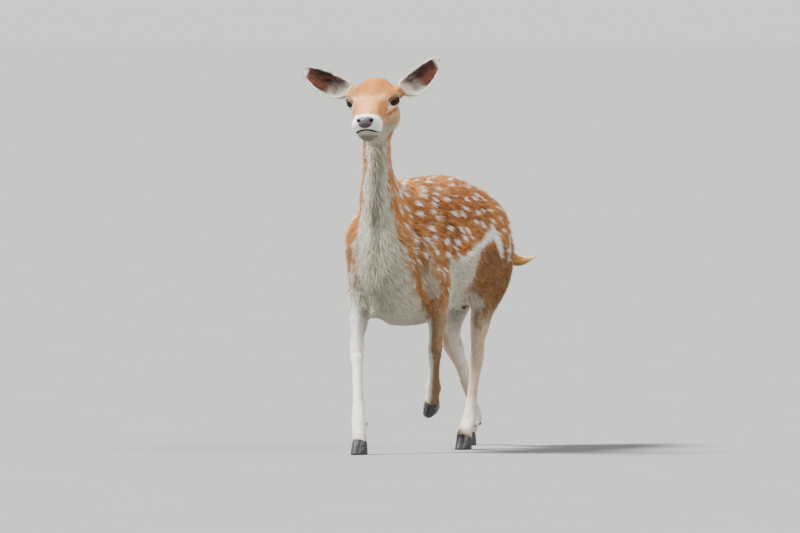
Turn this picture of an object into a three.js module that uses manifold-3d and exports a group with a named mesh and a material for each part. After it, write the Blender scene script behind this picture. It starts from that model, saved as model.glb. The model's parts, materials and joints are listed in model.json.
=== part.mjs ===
// A fallow deer doe at life size, as one still model. She is in mid-stride, with her neck upright and her head
// turned to her left. Millimetres, +Z up. She walks towards -Y, so her left side is +X.
// The flesh is one field, a function that is below zero inside it. Each node is a piece of its zero surface, and
// thin cuts part the nodes. Eyes, hooves, dewclaws and ears are shapes of their own.
import * as THREE from 'three';
import { mergeVertices } from 'three/addons/utils/BufferGeometryUtils.js';
import Module from 'manifold-3d';

const wasm = await Module();
wasm.setup();

// ---------------------------------------------------------------- driving sizes
const GAP = 0.3; // left between nodes that touch
const BACK_HEIGHT = 752; // the top of the back
const CHEST_HEIGHT = 341; // the underside of the chest
const BARREL_HALF_WIDTH = 128;
const BONES = {
  humerus: 125,
  forearm: 177,
  foreCannon: 200,
  femur: 192,
  shank: 210,
  hindCannon: 184,
  pastern: 60,
};
const CORONET = { height: 37, slope: 0.35 }; // where the hair ends and the hoof starts
const CLAW = { width: 20.5, apart: 1.8 };
const EYE = { radius: 18, out: 53, gaze: 43, width: 31, height: 24 };
const EAR = { length: 144, halfWidth: 34, cup: 20, wall: 3.2 };
const NOSE = { front: 150, halfWidth: 24 };

const LEFT = 1;
const RIGHT = -1;

// ---------------------------------------------------------------- small helpers
const vec = (x, y, z) => new THREE.Vector3(x, y, z);
const radians = THREE.MathUtils.degToRad;
const mix = (a, b, t) => a + (b - a) * t;
const FORWARD = vec(0, -1, 0);

// A frame whose +Z runs from one point to another, with its -Y as near as can be to the way that faces.
function frameAlong(from, to, facing = FORWARD) {
  const up = to.clone().sub(from).normalize();
  const side = up.clone().cross(facing).normalize().negate();
  const back = up.clone().cross(side);
  return new THREE.Matrix4().makeBasis(side, back, up).setPosition(from);
}

// ---------------------------------------------------------------- fields
const OUT_OF_REACH = 90; // past this far a field gives only a rough distance

// Smooth union: the pieces swell together where they are within the softness of each other.
function softMin(a, b, softness) {
  const near = Math.max(softness - Math.abs(a - b), 0) / softness;
  return Math.min(a, b) - (near * near * softness) / 4;
}

function blend(softness, ...fields) {
  return (x, y, z) => {
    let d = fields[0](x, y, z);
    for (let i = 1; i < fields.length; i++) d = softMin(d, fields[i](x, y, z), softness);
    return d;
  };
}

function carve(softness, field, ...dents) {
  return (x, y, z) => {
    let d = field(x, y, z);
    for (const dent of dents) d = -softMin(-d, dent(x, y, z), softness);
    return d;
  };
}

function ellipsoid(at, half, turn = new THREE.Euler()) {
  const m = new THREE.Matrix4().makeRotationFromEuler(turn).transpose().elements;
  const reach = Math.max(...half) + OUT_OF_REACH;
  return (x, y, z) => {
    const dx = x - at.x;
    const dy = y - at.y;
    const dz = z - at.z;
    const far = Math.hypot(dx, dy, dz);
    if (far > reach) return far - reach + OUT_OF_REACH;
    const u = (m[0] * dx + m[4] * dy + m[8] * dz) / half[0];
    const v = (m[1] * dx + m[5] * dy + m[9] * dz) / half[1];
    const w = (m[2] * dx + m[6] * dy + m[10] * dz) / half[2];
    const r = Math.hypot(u, v, w);
    return r < 1e-6 ? -Math.min(...half) : (far * (r - 1)) / r;
  };
}

// Catmull-Rom between one number of four neighbours.
function smoothNumber(a, b, c, d, t) {
  return 0.5 * (2 * b + (c - a) * t + (2 * a - 5 * b + 4 * c - d) * t * t + (3 * b - a - 3 * c + d) * t * t * t);
}

// A limb or trunk round a smooth line of stations. Each station is { at, side, fore, aft } with half sizes across
// the line: side is to each side, and fore and aft are towards and away from the way that faces. Powers above 2
// make that half of the section boxier, and below 2 more pointed.
const STEPS_PER_STATION = 4;

function smoothRows(stations, steps = STEPS_PER_STATION) {
  const rows = stations.map(({ at, side, fore, aft }) => [at.x, at.y, at.z, side, fore, aft]);
  const last = rows.length - 1;
  const dense = [];
  for (let i = 0; i < last; i++) {
    const four = [rows[Math.max(i - 1, 0)], rows[i], rows[i + 1], rows[Math.min(i + 2, last)]];
    for (let k = 0; k < steps; k++) {
      dense.push(rows[i].map((_, n) => smoothNumber(four[0][n], four[1][n], four[2][n], four[3][n], k / steps)));
    }
  }
  return [...dense, rows[last]];
}

function tube(stations, { facing = FORWARD, cap = null, forePower = 2, aftPower = 2 } = {}) {
  const dense = smoothRows(stations);

  const spans = [];
  for (let i = 0; i + 1 < dense.length; i++) {
    const a = dense[i];
    const b = dense[i + 1];
    const run = vec(b[0] - a[0], b[1] - a[1], b[2] - a[2]);
    const along = run.clone().normalize();
    const side = along.clone().cross(facing).normalize();
    const fore = side.clone().cross(along);
    spans.push({ a, b, run, length2: run.lengthSq(), along, side, fore });
  }
  const box = new THREE.Box3().setFromPoints(dense.map((r) => vec(r[0], r[1], r[2])));
  const widest = Math.max(...dense.map((r) => Math.max(r[3], r[4], r[5])));
  const centre = box.getCenter(vec());
  const reach = box.getSize(vec()).length() / 2 + widest;

  return (x, y, z) => {
    const away = Math.hypot(x - centre.x, y - centre.y, z - centre.z);
    if (away > reach + OUT_OF_REACH) return away - reach;
    let best = Infinity;
    let span = null;
    let t = 0;
    for (const s of spans) {
      const px = x - s.a[0];
      const py = y - s.a[1];
      const pz = z - s.a[2];
      const k = Math.min(Math.max((px * s.run.x + py * s.run.y + pz * s.run.z) / s.length2, 0), 1);
      const qx = px - k * s.run.x;
      const qy = py - k * s.run.y;
      const qz = pz - k * s.run.z;
      const d2 = qx * qx + qy * qy + qz * qz;
      if (d2 < best) {
        best = d2;
        span = s;
        t = k;
      }
    }
    const { a, b, run, along, side, fore } = span;
    const qx = x - a[0] - t * run.x;
    const qy = y - a[1] - t * run.y;
    const qz = z - a[2] - t * run.z;
    const u = Math.abs(qx * side.x + qy * side.y + qz * side.z) / mix(a[3], b[3], t);
    const v = qx * fore.x + qy * fore.y + qz * fore.z;
    const w = qx * along.x + qy * along.y + qz * along.z;
    const n = v > 0 ? forePower : aftPower;
    const half = v > 0 ? mix(a[4], b[4], t) : mix(a[5], b[5], t);
    const ring = (u ** n + Math.abs(v / half) ** n) ** (1 / n);
    const r = Math.hypot(ring, w / (cap ?? mix(a[3], b[3], t)));
    const far = Math.sqrt(best);
    return r < 1e-6 ? -mix(a[3], b[3], t) : (far * (r - 1)) / r;
  };
}

// A field given in a frame of its own.
function placed(field, frame) {
  const m = frame.clone().invert().elements;
  return (x, y, z) =>
    field(
      m[0] * x + m[4] * y + m[8] * z + m[12],
      m[1] * x + m[5] * y + m[9] * z + m[13],
      m[2] * x + m[6] * y + m[10] * z + m[14],
    );
}

// ---------------------------------------------------------------- from a field to a mesh
// Grid lines from start on, each further stretch with its own spacing: ticks(0, [60, 12], [90, 5]).
function ticks(start, ...stretches) {
  const lines = [start];
  for (const [end, spacing] of stretches) {
    const from = lines[lines.length - 1];
    const count = Math.max(1, Math.round((end - from) / spacing));
    for (let i = 1; i <= count; i++) lines.push(mix(from, end, i / count));
  }
  return lines;
}

const CLOSED = 1e-3; // the field's value just outside, at the grid's own border

// Where the four corners of a grid square lie in, out, in and out in turn, the surface would touch itself there.
// One of the inner corners is put just outside, until no such square is left.
function settle(values, count, at) {
  const pairs = [
    [0, 1],
    [0, 2],
    [1, 2],
  ];
  for (let again = true; again; ) {
    again = false;
    for (let k = 0; k < count[2]; k++) {
      for (let j = 0; j < count[1]; j++) {
        for (let i = 0; i < count[0]; i++) {
          for (const [m, n] of pairs) {
            const here = [i, j, k];
            if (here[m] + 1 >= count[m] || here[n] + 1 >= count[n]) continue;
            const corner = (dm, dn) => {
              const c = [...here];
              c[m] += dm;
              c[n] += dn;
              return at(...c);
            };
            const ring = [corner(0, 0), corner(1, 0), corner(1, 1), corner(0, 1)];
            const inner = ring.map((c) => values[c] < 0);
            if (inner[0] !== inner[2] || inner[1] !== inner[3] || inner[0] === inner[1]) continue;
            values[inner[0] ? ring[0] : ring[1]] = CLOSED;
            again = true;
          }
        }
      }
    }
  }
}

// Surface nets: one vertex in each grid cell that the surface crosses, drawn onto the surface, and one four-sided
// face round each grid edge that it crosses. The grid's lines may be spaced unevenly, closer where detail is.
function surface(field, xs, ys, zs, frame = new THREE.Matrix4()) {
  const local = placed(field, frame.clone().invert());
  const count = [xs.length, ys.length, zs.length];
  const at = (i, j, k) => (k * count[1] + j) * count[0] + i;
  const onBorder = (i, n) => i === 0 || i === n - 1;
  const values = new Float64Array(count[0] * count[1] * count[2]);
  for (let k = 0; k < count[2]; k++) {
    for (let j = 0; j < count[1]; j++) {
      for (let i = 0; i < count[0]; i++) {
        const d = local(xs[i], ys[j], zs[k]);
        const border = onBorder(i, count[0]) || onBorder(j, count[1]) || onBorder(k, count[2]);
        values[at(i, j, k)] = border ? Math.max(d, CLOSED) : d;
      }
    }
  }

  settle(values, count, at);

  const positions = [];
  const vertexOf = new Map();
  for (let k = 0; k + 1 < count[2]; k++) {
    for (let j = 0; j + 1 < count[1]; j++) {
      for (let i = 0; i + 1 < count[0]; i++) {
        const corners = [];
        for (let c = 0; c < 8; c++) {
          const [ci, cj, ck] = [i + (c & 1), j + ((c >> 1) & 1), k + ((c >> 2) & 1)];
          corners.push({ at: [xs[ci], ys[cj], zs[ck]], d: values[at(ci, cj, ck)] });
        }
        const inside = corners.filter((c) => c.d < 0).length;
        if (inside === 0 || inside === 8) continue;
        const sum = [0, 0, 0];
        let crossings = 0;
        for (let c = 0; c < 8; c++) {
          for (const bit of [1, 2, 4]) {
            if (c & bit) continue;
            const a = corners[c];
            const b = corners[c | bit];
            if (a.d < 0 === b.d < 0) continue;
            const t = a.d / (a.d - b.d);
            for (let n = 0; n < 3; n++) sum[n] += mix(a.at[n], b.at[n], t);
            crossings++;
          }
        }
        const p = sum.map((s) => s / crossings);
        const low = corners[0].at;
        const high = corners[7].at;
        const atBorder =
          onBorder(i, count[0] - 1) || onBorder(j, count[1] - 1) || onBorder(k, count[2] - 1);
        if (!atBorder) drawOnto(local, p, low, high);
        vertexOf.set(at(i, j, k), positions.length / 3);
        positions.push(...p);
      }
    }
  }

  const index = [];
  const steps = [
    [1, 0, 0],
    [0, 1, 0],
    [0, 0, 1],
  ];
  for (let k = 0; k + 1 < count[2]; k++) {
    for (let j = 0; j + 1 < count[1]; j++) {
      for (let i = 0; i + 1 < count[0]; i++) {
        for (let axis = 0; axis < 3; axis++) {
          const [di, dj, dk] = steps[axis];
          if ((!di && i === 0) || (!dj && j === 0) || (!dk && k === 0)) continue;
          const here = values[at(i, j, k)] < 0;
          const there = values[at(i + di, j + dj, k + dk)] < 0;
          if (here === there) continue;
          const [b, c] = [steps[(axis + 1) % 3], steps[(axis + 2) % 3]];
          const cell = (m, n) =>
            vertexOf.get(at(i - m * b[0] - n * c[0], j - m * b[1] - n * c[1], k - m * b[2] - n * c[2]));
          const quad = [cell(0, 0), cell(1, 0), cell(1, 1), cell(0, 1)];
          if (!here) quad.reverse();
          const span = (m, n) =>
            Math.hypot(...[0, 1, 2].map((q) => positions[3 * quad[m] + q] - positions[3 * quad[n] + q]));
          if (span(0, 2) < span(1, 3)) index.push(quad[0], quad[1], quad[2], quad[0], quad[2], quad[3]);
          else index.push(quad[0], quad[1], quad[3], quad[1], quad[2], quad[3]);
        }
      }
    }
  }
  const geometry = new THREE.BufferGeometry();
  geometry.setAttribute('position', new THREE.Float32BufferAttribute(positions, 3));
  geometry.setIndex(index);
  return geometry.applyMatrix4(frame);
}

// Moves a point along the field's slope until it lies on the surface, without leaving its cell by much.
function drawOnto(field, p, low, high) {
  const h = 0.5;
  for (let step = 0; step < 3; step++) {
    const d = field(...p);
    const slope = [0, 1, 2].map((n) => {
      const q = [...p];
      q[n] += h;
      return (field(...q) - d) / h;
    });
    const steep = slope[0] ** 2 + slope[1] ** 2 + slope[2] ** 2;
    if (steep < 1e-4) return;
    for (let n = 0; n < 3; n++) {
      const slack = 0.1 * (high[n] - low[n]);
      p[n] = Math.min(Math.max(p[n] - (d * slope[n]) / steep, low[n] - slack), high[n] + slack);
    }
  }
}

// ---------------------------------------------------------------- solids
function solid(geometry) {
  const bare = geometry.clone();
  bare.deleteAttribute('normal');
  bare.deleteAttribute('uv');
  const merged = mergeVertices(bare, 1e-4);
  const mesh = new wasm.Mesh({
    numProp: 3,
    vertProperties: new Float32Array(merged.attributes.position.array),
    triVerts: new Uint32Array(merged.index.array),
  });
  return new wasm.Manifold(mesh);
}

// A closed skin over rings of equal numbers of points, with its two ends fanned shut. Where turned says so, the
// faces are split along their other diagonal, so that the two sides of a thin wall are split alike.
function loft(rings, turned = () => false) {
  const size = rings[0].length;
  const positions = [];
  const index = [];
  for (const ring of rings) for (const p of ring) positions.push(p.x, p.y, p.z);
  for (let r = 0; r + 1 < rings.length; r++) {
    for (let i = 0; i < size; i++) {
      const j = (i + 1) % size;
      const [a, b, c, d] = [r * size + i, r * size + j, (r + 1) * size + j, (r + 1) * size + i];
      if (turned(i)) index.push(a, b, d, b, c, d);
      else index.push(a, b, c, a, c, d);
    }
  }
  for (const end of [0, rings.length - 1]) {
    const middle = rings[end].reduce((sum, p) => sum.add(p), vec(0, 0, 0)).divideScalar(size);
    const centre = positions.length / 3;
    positions.push(middle.x, middle.y, middle.z);
    for (let i = 0; i < size; i++) {
      const j = (i + 1) % size;
      if (end === 0) index.push(end * size + j, end * size + i, centre);
      else index.push(end * size + i, end * size + j, centre);
    }
  }
  const geometry = new THREE.BufferGeometry();
  geometry.setAttribute('position', new THREE.Float32BufferAttribute(positions, 3));
  geometry.setIndex(index);
  return geometry;
}

// The same line of stations as a loft, grown by some all round.
function loftAlong(stations, facing, sides, grow = 0) {
  const rows = smoothRows(stations, 2);
  const at = (row) => vec(row[0], row[1], row[2]);
  const rings = rows.map((row, i) => {
    const along = at(rows[Math.min(i + 1, rows.length - 1)]).sub(at(rows[Math.max(i - 1, 0)])).normalize();
    const across = along.clone().cross(facing).normalize();
    const fore = across.clone().cross(along);
    const ring = [];
    for (let k = 0; k < sides; k++) {
      const a = (-k / sides) * 2 * Math.PI;
      const half = grow + (Math.sin(a) > 0 ? row[4] : row[5]);
      ring.push(
        at(row).addScaledVector(across, (grow + row[3]) * Math.cos(a)).addScaledVector(fore, half * Math.sin(a)),
      );
    }
    return ring;
  });
  return loft(rings);
}

const HUGE = 3000;

// All of space on one side of a plane, as a huge box: the side that the normal points away from.
function behind(point, normal, inset = 0) {
  const box = new THREE.BoxGeometry(HUGE, HUGE, HUGE).translate(0, 0, -HUGE / 2 - inset);
  const turn = new THREE.Quaternion().setFromUnitVectors(vec(0, 0, 1), normal.clone().normalize());
  return solid(box.applyQuaternion(turn).translate(point.x, point.y, point.z));
}

// A plane as { point, normal } through three points, with its normal turned to point towards a fourth.
function planeThrough(a, b, c, towards) {
  const normal = b.clone().sub(a).cross(c.clone().sub(a)).normalize();
  if (towards.clone().sub(a).dot(normal) < 0) normal.negate();
  return { point: a, normal };
}

// The space behind all of some planes, drawn in by an inset.
function region(planes, inset) {
  return planes.map((p) => behind(p.point, p.normal, inset)).reduce((all, next) => all.intersect(next));
}

const flipped = ({ point, normal }) => ({ point, normal: normal.clone().negate() });

function largestOf(made) {
  return made.decompose().reduce((best, next) => (next.volume() > best.volume() ? next : best));
}

// ---------------------------------------------------------------- the skeleton
// A bone's far end, from its near end, its length, how far it swings forward from hanging straight down, and how
// far it leans outward.
function boneEnd(from, length, forward, outward, side) {
  const lean = radians(outward);
  const swing = radians(forward);
  const down = vec(side * Math.sin(lean), -Math.sin(swing) * Math.cos(lean), -Math.cos(swing) * Math.cos(lean));
  return from.clone().addScaledVector(down, length);
}

function foreLegBones(side, elbow, swing) {
  const shoulder = boneEnd(elbow, -BONES.humerus, swing.humerus, swing.humerusOut, side);
  const carpus = boneEnd(elbow, BONES.forearm, swing.forearm, swing.forearmOut, side);
  const fetlock = boneEnd(carpus, BONES.foreCannon, swing.cannon, swing.cannonOut, side);
  const coronet = boneEnd(fetlock, BONES.pastern, swing.pastern, swing.pasternOut, side);
  return { side, shoulder, elbow, joint: carpus, fetlock, coronet };
}

function hindLegBones(side, hip, swing) {
  const stifle = boneEnd(hip, BONES.femur, swing.femur, swing.femurOut, side);
  const hock = boneEnd(stifle, BONES.shank, swing.shank, swing.shankOut, side);
  const fetlock = boneEnd(hock, BONES.hindCannon, swing.cannon, swing.cannonOut, side);
  const coronet = boneEnd(fetlock, BONES.pastern, swing.pastern, swing.pasternOut, side);
  return { side, hip, stifle, joint: hock, fetlock, coronet };
}

// Her right foreleg bears weight, her left one swings through with the knee bent, her left hind foot has just
// landed under the belly, and her right hind one is about to push off.
const foreRight = foreLegBones(RIGHT, vec(-86, -66, 463), {
  humerus: -18,
  humerusOut: 5,
  forearm: 10,
  forearmOut: -0.9,
  cannon: 14,
  cannonOut: -8,
  pastern: 14,
  pasternOut: -9,
});
const foreLeft = foreLegBones(LEFT, vec(95, 52, 458), {
  humerus: -45,
  humerusOut: 4,
  forearm: -1,
  forearmOut: -5,
  cannon: -54,
  cannonOut: -22,
  pastern: -50,
  pasternOut: -22,
});
const hindLeft = hindLegBones(LEFT, vec(65, 455, 556), {
  femur: 54,
  femurOut: 4,
  shank: -25,
  shankOut: -7,
  cannon: 13,
  cannonOut: -1.5,
  pastern: 40,
  pasternOut: 1,
});
const hindRight = hindLegBones(RIGHT, vec(-65, 470, 556), {
  femur: 21,
  femurOut: 4,
  shank: -35,
  shankOut: -7,
  cannon: -44,
  cannonOut: 6,
  pastern: 44,
  pasternOut: 2,
});

// A leg that bears weight is set up or down by the little it takes to stand its foot on the floor.
for (const leg of [foreRight, hindLeft, hindRight]) {
  const rise = CORONET.height - leg.coronet.z;
  for (const bone of [leg.shoulder, leg.hip, leg.elbow, leg.stifle, leg.joint, leg.fetlock, leg.coronet]) {
    if (bone) bone.z += rise;
  }
}

// ---------------------------------------------------------------- the trunk
const trunk = tube(
  [
    { at: vec(0, -112, 560), side: 66, fore: 84, aft: 116 },
    { at: vec(0, -50, 545), side: 86, fore: 184, aft: 545 - CHEST_HEIGHT - 12 },
    { at: vec(0, 20, 540), side: 106, fore: 206, aft: 540 - CHEST_HEIGHT },
    { at: vec(0, 100, 540), side: 118, fore: 210, aft: 540 - CHEST_HEIGHT },
    { at: vec(0, 180, 545), side: BARREL_HALF_WIDTH - 1, fore: BACK_HEIGHT - 545, aft: 186 },
    { at: vec(0, 260, 550), side: BARREL_HALF_WIDTH, fore: BACK_HEIGHT - 547, aft: 168 },
    { at: vec(0, 340, 560), side: BARREL_HALF_WIDTH - 4, fore: 192, aft: 162 },
    { at: vec(0, 420, 575), side: 114, fore: 164, aft: 158 },
    { at: vec(0, 490, 590), side: 98, fore: 130, aft: 140 },
    { at: vec(0, 550, 600), side: 80, fore: 90, aft: 118 },
    { at: vec(0, 592, 596), side: 56, fore: 54, aft: 92 },
  ],
  { facing: vec(0, 0, 1), cap: 40, forePower: 1.95, aftPower: 1.95 },
);
const breast = ellipsoid(vec(0, -92, 540), [74, 78, 116], new THREE.Euler(-0.12, 0, 0));

const neckLine = tube(
  [
    { at: vec(0, -52, 585), side: 86, fore: 98, aft: 130 },
    { at: vec(0, -100, 640), side: 68, fore: 80, aft: 136 },
    { at: vec(1, -138, 700), side: 55, fore: 62, aft: 104 },
    { at: vec(4, -156, 765), side: 40, fore: 52, aft: 66 },
    { at: vec(7, -164, 830), side: 39.5, fore: 47, aft: 51 },
    { at: vec(10, -168, 890), side: 43, fore: 44, aft: 48 },
    { at: vec(11, -166, 940), side: 43, fore: 40, aft: 44 },
  ],
  { cap: 30 },
);

// ---------------------------------------------------------------- the legs
const station = (at, side, fore, aft) => ({ at, side, fore, aft });
const between = (a, b, t) => a.clone().lerp(b, t);

function foreLegFlesh({ side, shoulder, elbow, joint, fetlock, coronet }) {
  const blade = vec(side * 54, mix(shoulder.y, 60, 0.55), 690);
  const shoulderMass = tube(
    [
      station(blade, 24, 46, 58),
      station(between(blade, shoulder, 0.6), 38, 50, 64),
      station(shoulder, 37, 44, 60),
      station(between(shoulder, elbow, 0.55), 36, 48, 70),
      station(elbow, 28, 40, 56),
    ],
    { cap: 28 },
  );
  const leg = tube(
    [
      station(between(shoulder, elbow, 0.7), 31, 42, 60),
      station(elbow, 30, 38, 52),
      station(between(elbow, joint, 0.28), 30, 35, 46),
      station(between(elbow, joint, 0.58), 26, 28, 35),
      station(between(elbow, joint, 0.84), 19.5, 20, 22),
      station(joint, 23.5, 21, 20),
      station(between(joint, fetlock, 0.13), 17.5, 15.5, 17),
      station(between(joint, fetlock, 0.42), 14.2, 13.5, 15.5),
      station(between(joint, fetlock, 0.8), 15, 13.5, 17),
      station(fetlock, 21.5, 16.5, 20),
      station(between(fetlock, coronet, 0.5), 19.5, 14.5, 16),
      station(coronet, 21.5, 18, 17),
      station(between(fetlock, coronet, 1.3), 22, 18, 17),
    ],
    { cap: 14 },
  );
  return blend(16, shoulderMass, leg);
}

function hindLegFlesh({ side, hip, stifle, joint, fetlock, coronet }, calfBack) {
  const backward = (p, by) => p.clone().add(vec(0, by, 0));
  const seat = vec(side * 47, 552, 560);
  const calf = backward(between(stifle, joint, 0.34), calfBack);
  const thigh = tube(
    [
      station(hip, 46, 66, 78),
      station(between(hip, stifle, 0.5), 46, 58, 74),
      station(between(hip, stifle, 0.86), 38, 42, 56),
      station(stifle, 31, 31, 44),
    ],
    { cap: 34 },
  );
  const haunch = tube(
    [
      station(seat, 41, 52, 42),
      station(backward(between(seat, calf, 0.5), 20), 42, 60, 50),
      station(calf, 28, 40, 33),
      station(between(calf, joint, 0.4), 20, 26, 24),
    ],
    { cap: 30 },
  );
  const leg = tube(
    [
      station(stifle, 31, 31, 44),
      station(between(stifle, joint, 0.3).add(vec(side * 6, 16, 0)), 24, 21, 32),
      station(between(stifle, joint, 0.6).add(vec(side * 3, 8, 0)), 20, 19, 25),
      station(between(stifle, joint, 0.85), 17.5, 21, 22),
      station(joint, 20, 24, 24),
      station(between(joint, fetlock, 0.16), 16.5, 19, 20),
      station(between(joint, fetlock, 0.45), 13.2, 14, 16.5),
      station(between(joint, fetlock, 0.8), 14.5, 14, 17.5),
      station(fetlock, 21.5, 16.5, 19),
      station(between(fetlock, coronet, 0.5), 20, 14.5, 15.5),
      station(coronet, 21.5, 18, 17),
      station(between(fetlock, coronet, 1.3), 22, 18, 17),
    ],
    { cap: 14 },
  );
  // The heel bone stands out behind and above the hock, with the tendon running up to the calf from it.
  const shin = joint.clone().sub(stifle).normalize();
  const heel = joint.clone().addScaledVector(shin, -22).add(vec(0, 30, 4));
  const tendon = tube(
    [
      station(backward(between(joint, fetlock, 0.1), 12), 9, 9, 9),
      station(heel, 10, 11, 9),
      station(backward(between(heel, stifle, 0.25), 4), 8, 9, 8),
      station(backward(between(stifle, joint, 0.45), 30), 12, 14, 12),
    ],
    { cap: 9 },
  );
  return blend(14, blend(34, thigh, haunch, leg), tendon);
}

const legs = {
  fore_left: { ...foreLeft, flesh: foreLegFlesh(foreLeft) },
  fore_right: { ...foreRight, flesh: foreLegFlesh(foreRight) },
  hind_left: { ...hindLeft, flesh: hindLegFlesh(hindLeft, 70) },
  hind_right: { ...hindRight, flesh: hindLegFlesh(hindRight, 28) },
};

// ---------------------------------------------------------------- the head
// In the head's own frame the origin is midway between the eyes, the nose is towards -Y and the crown towards +Z.
const HEAD_AT = vec(22, -219, 954);
const HEAD_TURN = { left: 16, noseDown: 24, tilt: -3 };
const headFrame = new THREE.Matrix4()
  .makeTranslation(HEAD_AT.x, HEAD_AT.y, HEAD_AT.z)
  .multiply(new THREE.Matrix4().makeRotationZ(radians(HEAD_TURN.left)))
  .multiply(new THREE.Matrix4().makeRotationX(radians(HEAD_TURN.noseDown)))
  .multiply(new THREE.Matrix4().makeRotationY(radians(HEAD_TURN.tilt)));

const mirrored = (make) => [make(LEFT), make(RIGHT)];
const eyeAt = (side) => vec(side * EYE.out, -3, 3);
const gazeOf = (side) => vec(side * Math.sin(radians(EYE.gaze)), -Math.cos(radians(EYE.gaze)), 0.05);

// The line between the lips: highest in the middle, and level along the side of the muzzle.
const MOUTH = { middle: -14, drop: 20, reach: 36, corner: -84, open: 2 };
const mouthLine = (x) => MOUTH.middle - MOUTH.drop * Math.min((x / MOUTH.reach) ** 2, 1.15);

const skull = tube(
  [
    { at: vec(0, -138, -1), side: 28, fore: 17, aft: 20 },
    { at: vec(0, -122, -9), side: 36, fore: 31, aft: 42 },
    { at: vec(0, -98, -12), side: 38, fore: 37, aft: 47 },
    { at: vec(0, -70, -12), side: 42, fore: 40, aft: 52 },
    { at: vec(0, -40, -10), side: 49, fore: 43, aft: 60 },
    { at: vec(0, -10, -8), side: 56, fore: 46, aft: 70 },
    { at: vec(0, 16, -6), side: 59, fore: 49, aft: 78 },
    { at: vec(0, 44, -4), side: 55, fore: 51, aft: 74 },
    { at: vec(0, 72, 0), side: 45, fore: 41, aft: 58 },
    { at: vec(0, 92, 0), side: 32, fore: 27, aft: 38 },
  ],
  { facing: vec(0, 0, 1), cap: 12, forePower: 2.4, aftPower: 2 },
);

// Each ear points out and up from its root. Her left ear is turned back more than the right one.
const EARS = {
  left: { root: vec(50, 50, -6), towards: vec(0.72, 0.58, 0.36), opening: vec(0.15, -0.95, 0.3), sweep: 11 },
  right: { root: vec(-50, 50, 1), towards: vec(-0.88, 0.05, 0.485), opening: vec(0, -0.92, 0.36), sweep: -6 },
};
const EAR_STUB = 24; // how far the head's own part of each ear reaches from the ear's root
for (const ear of Object.values(EARS)) ear.towards.normalize();

const earRoots = Object.values(EARS).map((ear) => {
  const end = ear.root.clone().addScaledVector(ear.towards, EAR_STUB + 14);
  const start = ear.root.clone().addScaledVector(ear.towards, -14);
  return tube(
    [
      { at: start, side: 22, fore: 18, aft: 22 },
      { at: end, side: 17, fore: 15, aft: 18 },
    ],
    { facing: ear.opening, cap: 8 },
  );
});

const headField = blend(
  8,
  blend(
    13,
    skull,
    ...mirrored((s) => ellipsoid(vec(s * 46, 2, 20), [24, 25, 16])), // brows
    ...mirrored((s) => ellipsoid(vec(s * 44, 20, -54), [22, 42, 36])), // cheeks
    ...mirrored((s) => ellipsoid(vec(s * 24, -119, -15), [18.5, 24, 19])), // upper lips
    ellipsoid(vec(0, -121, -44), [28, 20, 14]), // lower lip and chin
  ),
  ellipsoid(vec(0, -134, 4), [27, 18, 17]), // nose
  ...mirrored((s) => ellipsoid(eyeAt(s), [EYE.radius + 4, EYE.radius + 4, EYE.radius + 3])), // lids
  ...earRoots,
);
const placedHead = placed(headField, headFrame);

// ---------------------------------------------------------------- the whole flesh
const bodyWithNeck = blend(46, blend(40, trunk, breast), neckLine);
const flesh = blend(
  24,
  bodyWithNeck,
  placedHead,
  legs.fore_left.flesh,
  legs.fore_right.flesh,
  legs.hind_left.flesh,
  legs.hind_right.flesh,
);

// ---------------------------------------------------------------- the cuts
const inHead = (p) => p.clone().applyMatrix4(headFrame);
const napeCut = planeThrough(inHead(vec(0, 96, 2)), inHead(vec(60, 96, 2)), inHead(vec(0, -16, -96)), HEAD_AT);
const neckBaseCut = {
  point: vec(0, -80, 650),
  normal: vec(0, -0.62, 0.785),
};
const middleCut = (side) => ({ point: vec(side * GAP, 0, 0), normal: vec(-side, 0, 0) });

function legCuts(leg, hind) {
  const s = leg.side;
  const high = vec(0, 300, 2000);
  if (hind) {
    const fold = leg.stifle.clone().add(vec(0, -58, -46));
    return [
      planeThrough(vec(s * 100, fold.y, fold.z), vec(s * 8, 430, 410), vec(s * 100, 640, 545), high),
      middleCut(s),
    ];
  }
  return [
    planeThrough(
      vec(s * 130, leg.elbow.y - 60, 478),
      vec(s * 130, leg.elbow.y + 60, 478),
      vec(s * 45, leg.elbow.y, CHEST_HEIGHT - 2),
      high,
    ),
    { point: vec(0, leg.elbow.y + 84, 0), normal: vec(0, 1, 0) },
    middleCut(s),
  ];
}

// The knee or hock is cut square across the cannon, just under its thickest part.
function kneeCut(leg) {
  const down = leg.fetlock.clone().sub(leg.joint).normalize();
  return { point: between(leg.joint, leg.fetlock, 0.1), normal: down };
}

// Hooves lie below this plane, which rises towards the toe. A raised foot has it square across the pastern.
function coronetCut(leg) {
  const down = leg.coronet.clone().sub(leg.fetlock).normalize();
  const level = vec(0, -CORONET.slope, -1).normalize();
  return { point: leg.coronet, normal: leg === legs.fore_left ? down : level };
}

// ---------------------------------------------------------------- nodes
const group = new THREE.Group();
group.name = 'fallow_deer';

const finish = (color, roughness) => new THREE.MeshStandardMaterial({ color, roughness, metalness: 0 });
const MATERIALS = {
  coat: finish('#a8693c', 0.85),
  pale: finish('#d9d2c4', 0.85),
  horn: finish('#2b2523', 0.55),
  eye: finish('#15100e', 0.1),
  nose: finish('#3a3236', 0.5),
};

function bareGeometry(made) {
  const whole = made.getMesh();
  const geometry = new THREE.BufferGeometry();
  geometry.setAttribute('position', new THREE.Float32BufferAttribute(whole.vertProperties, 3));
  geometry.setIndex(new THREE.BufferAttribute(whole.triVerts, 1));
  return geometry;
}

function addNode(name, made, material) {
  const geometry = bareGeometry(largestOf(made));
  geometry.computeVertexNormals();
  const mesh = new THREE.Mesh(geometry, material);
  mesh.name = name;
  group.add(mesh);
}

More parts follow.
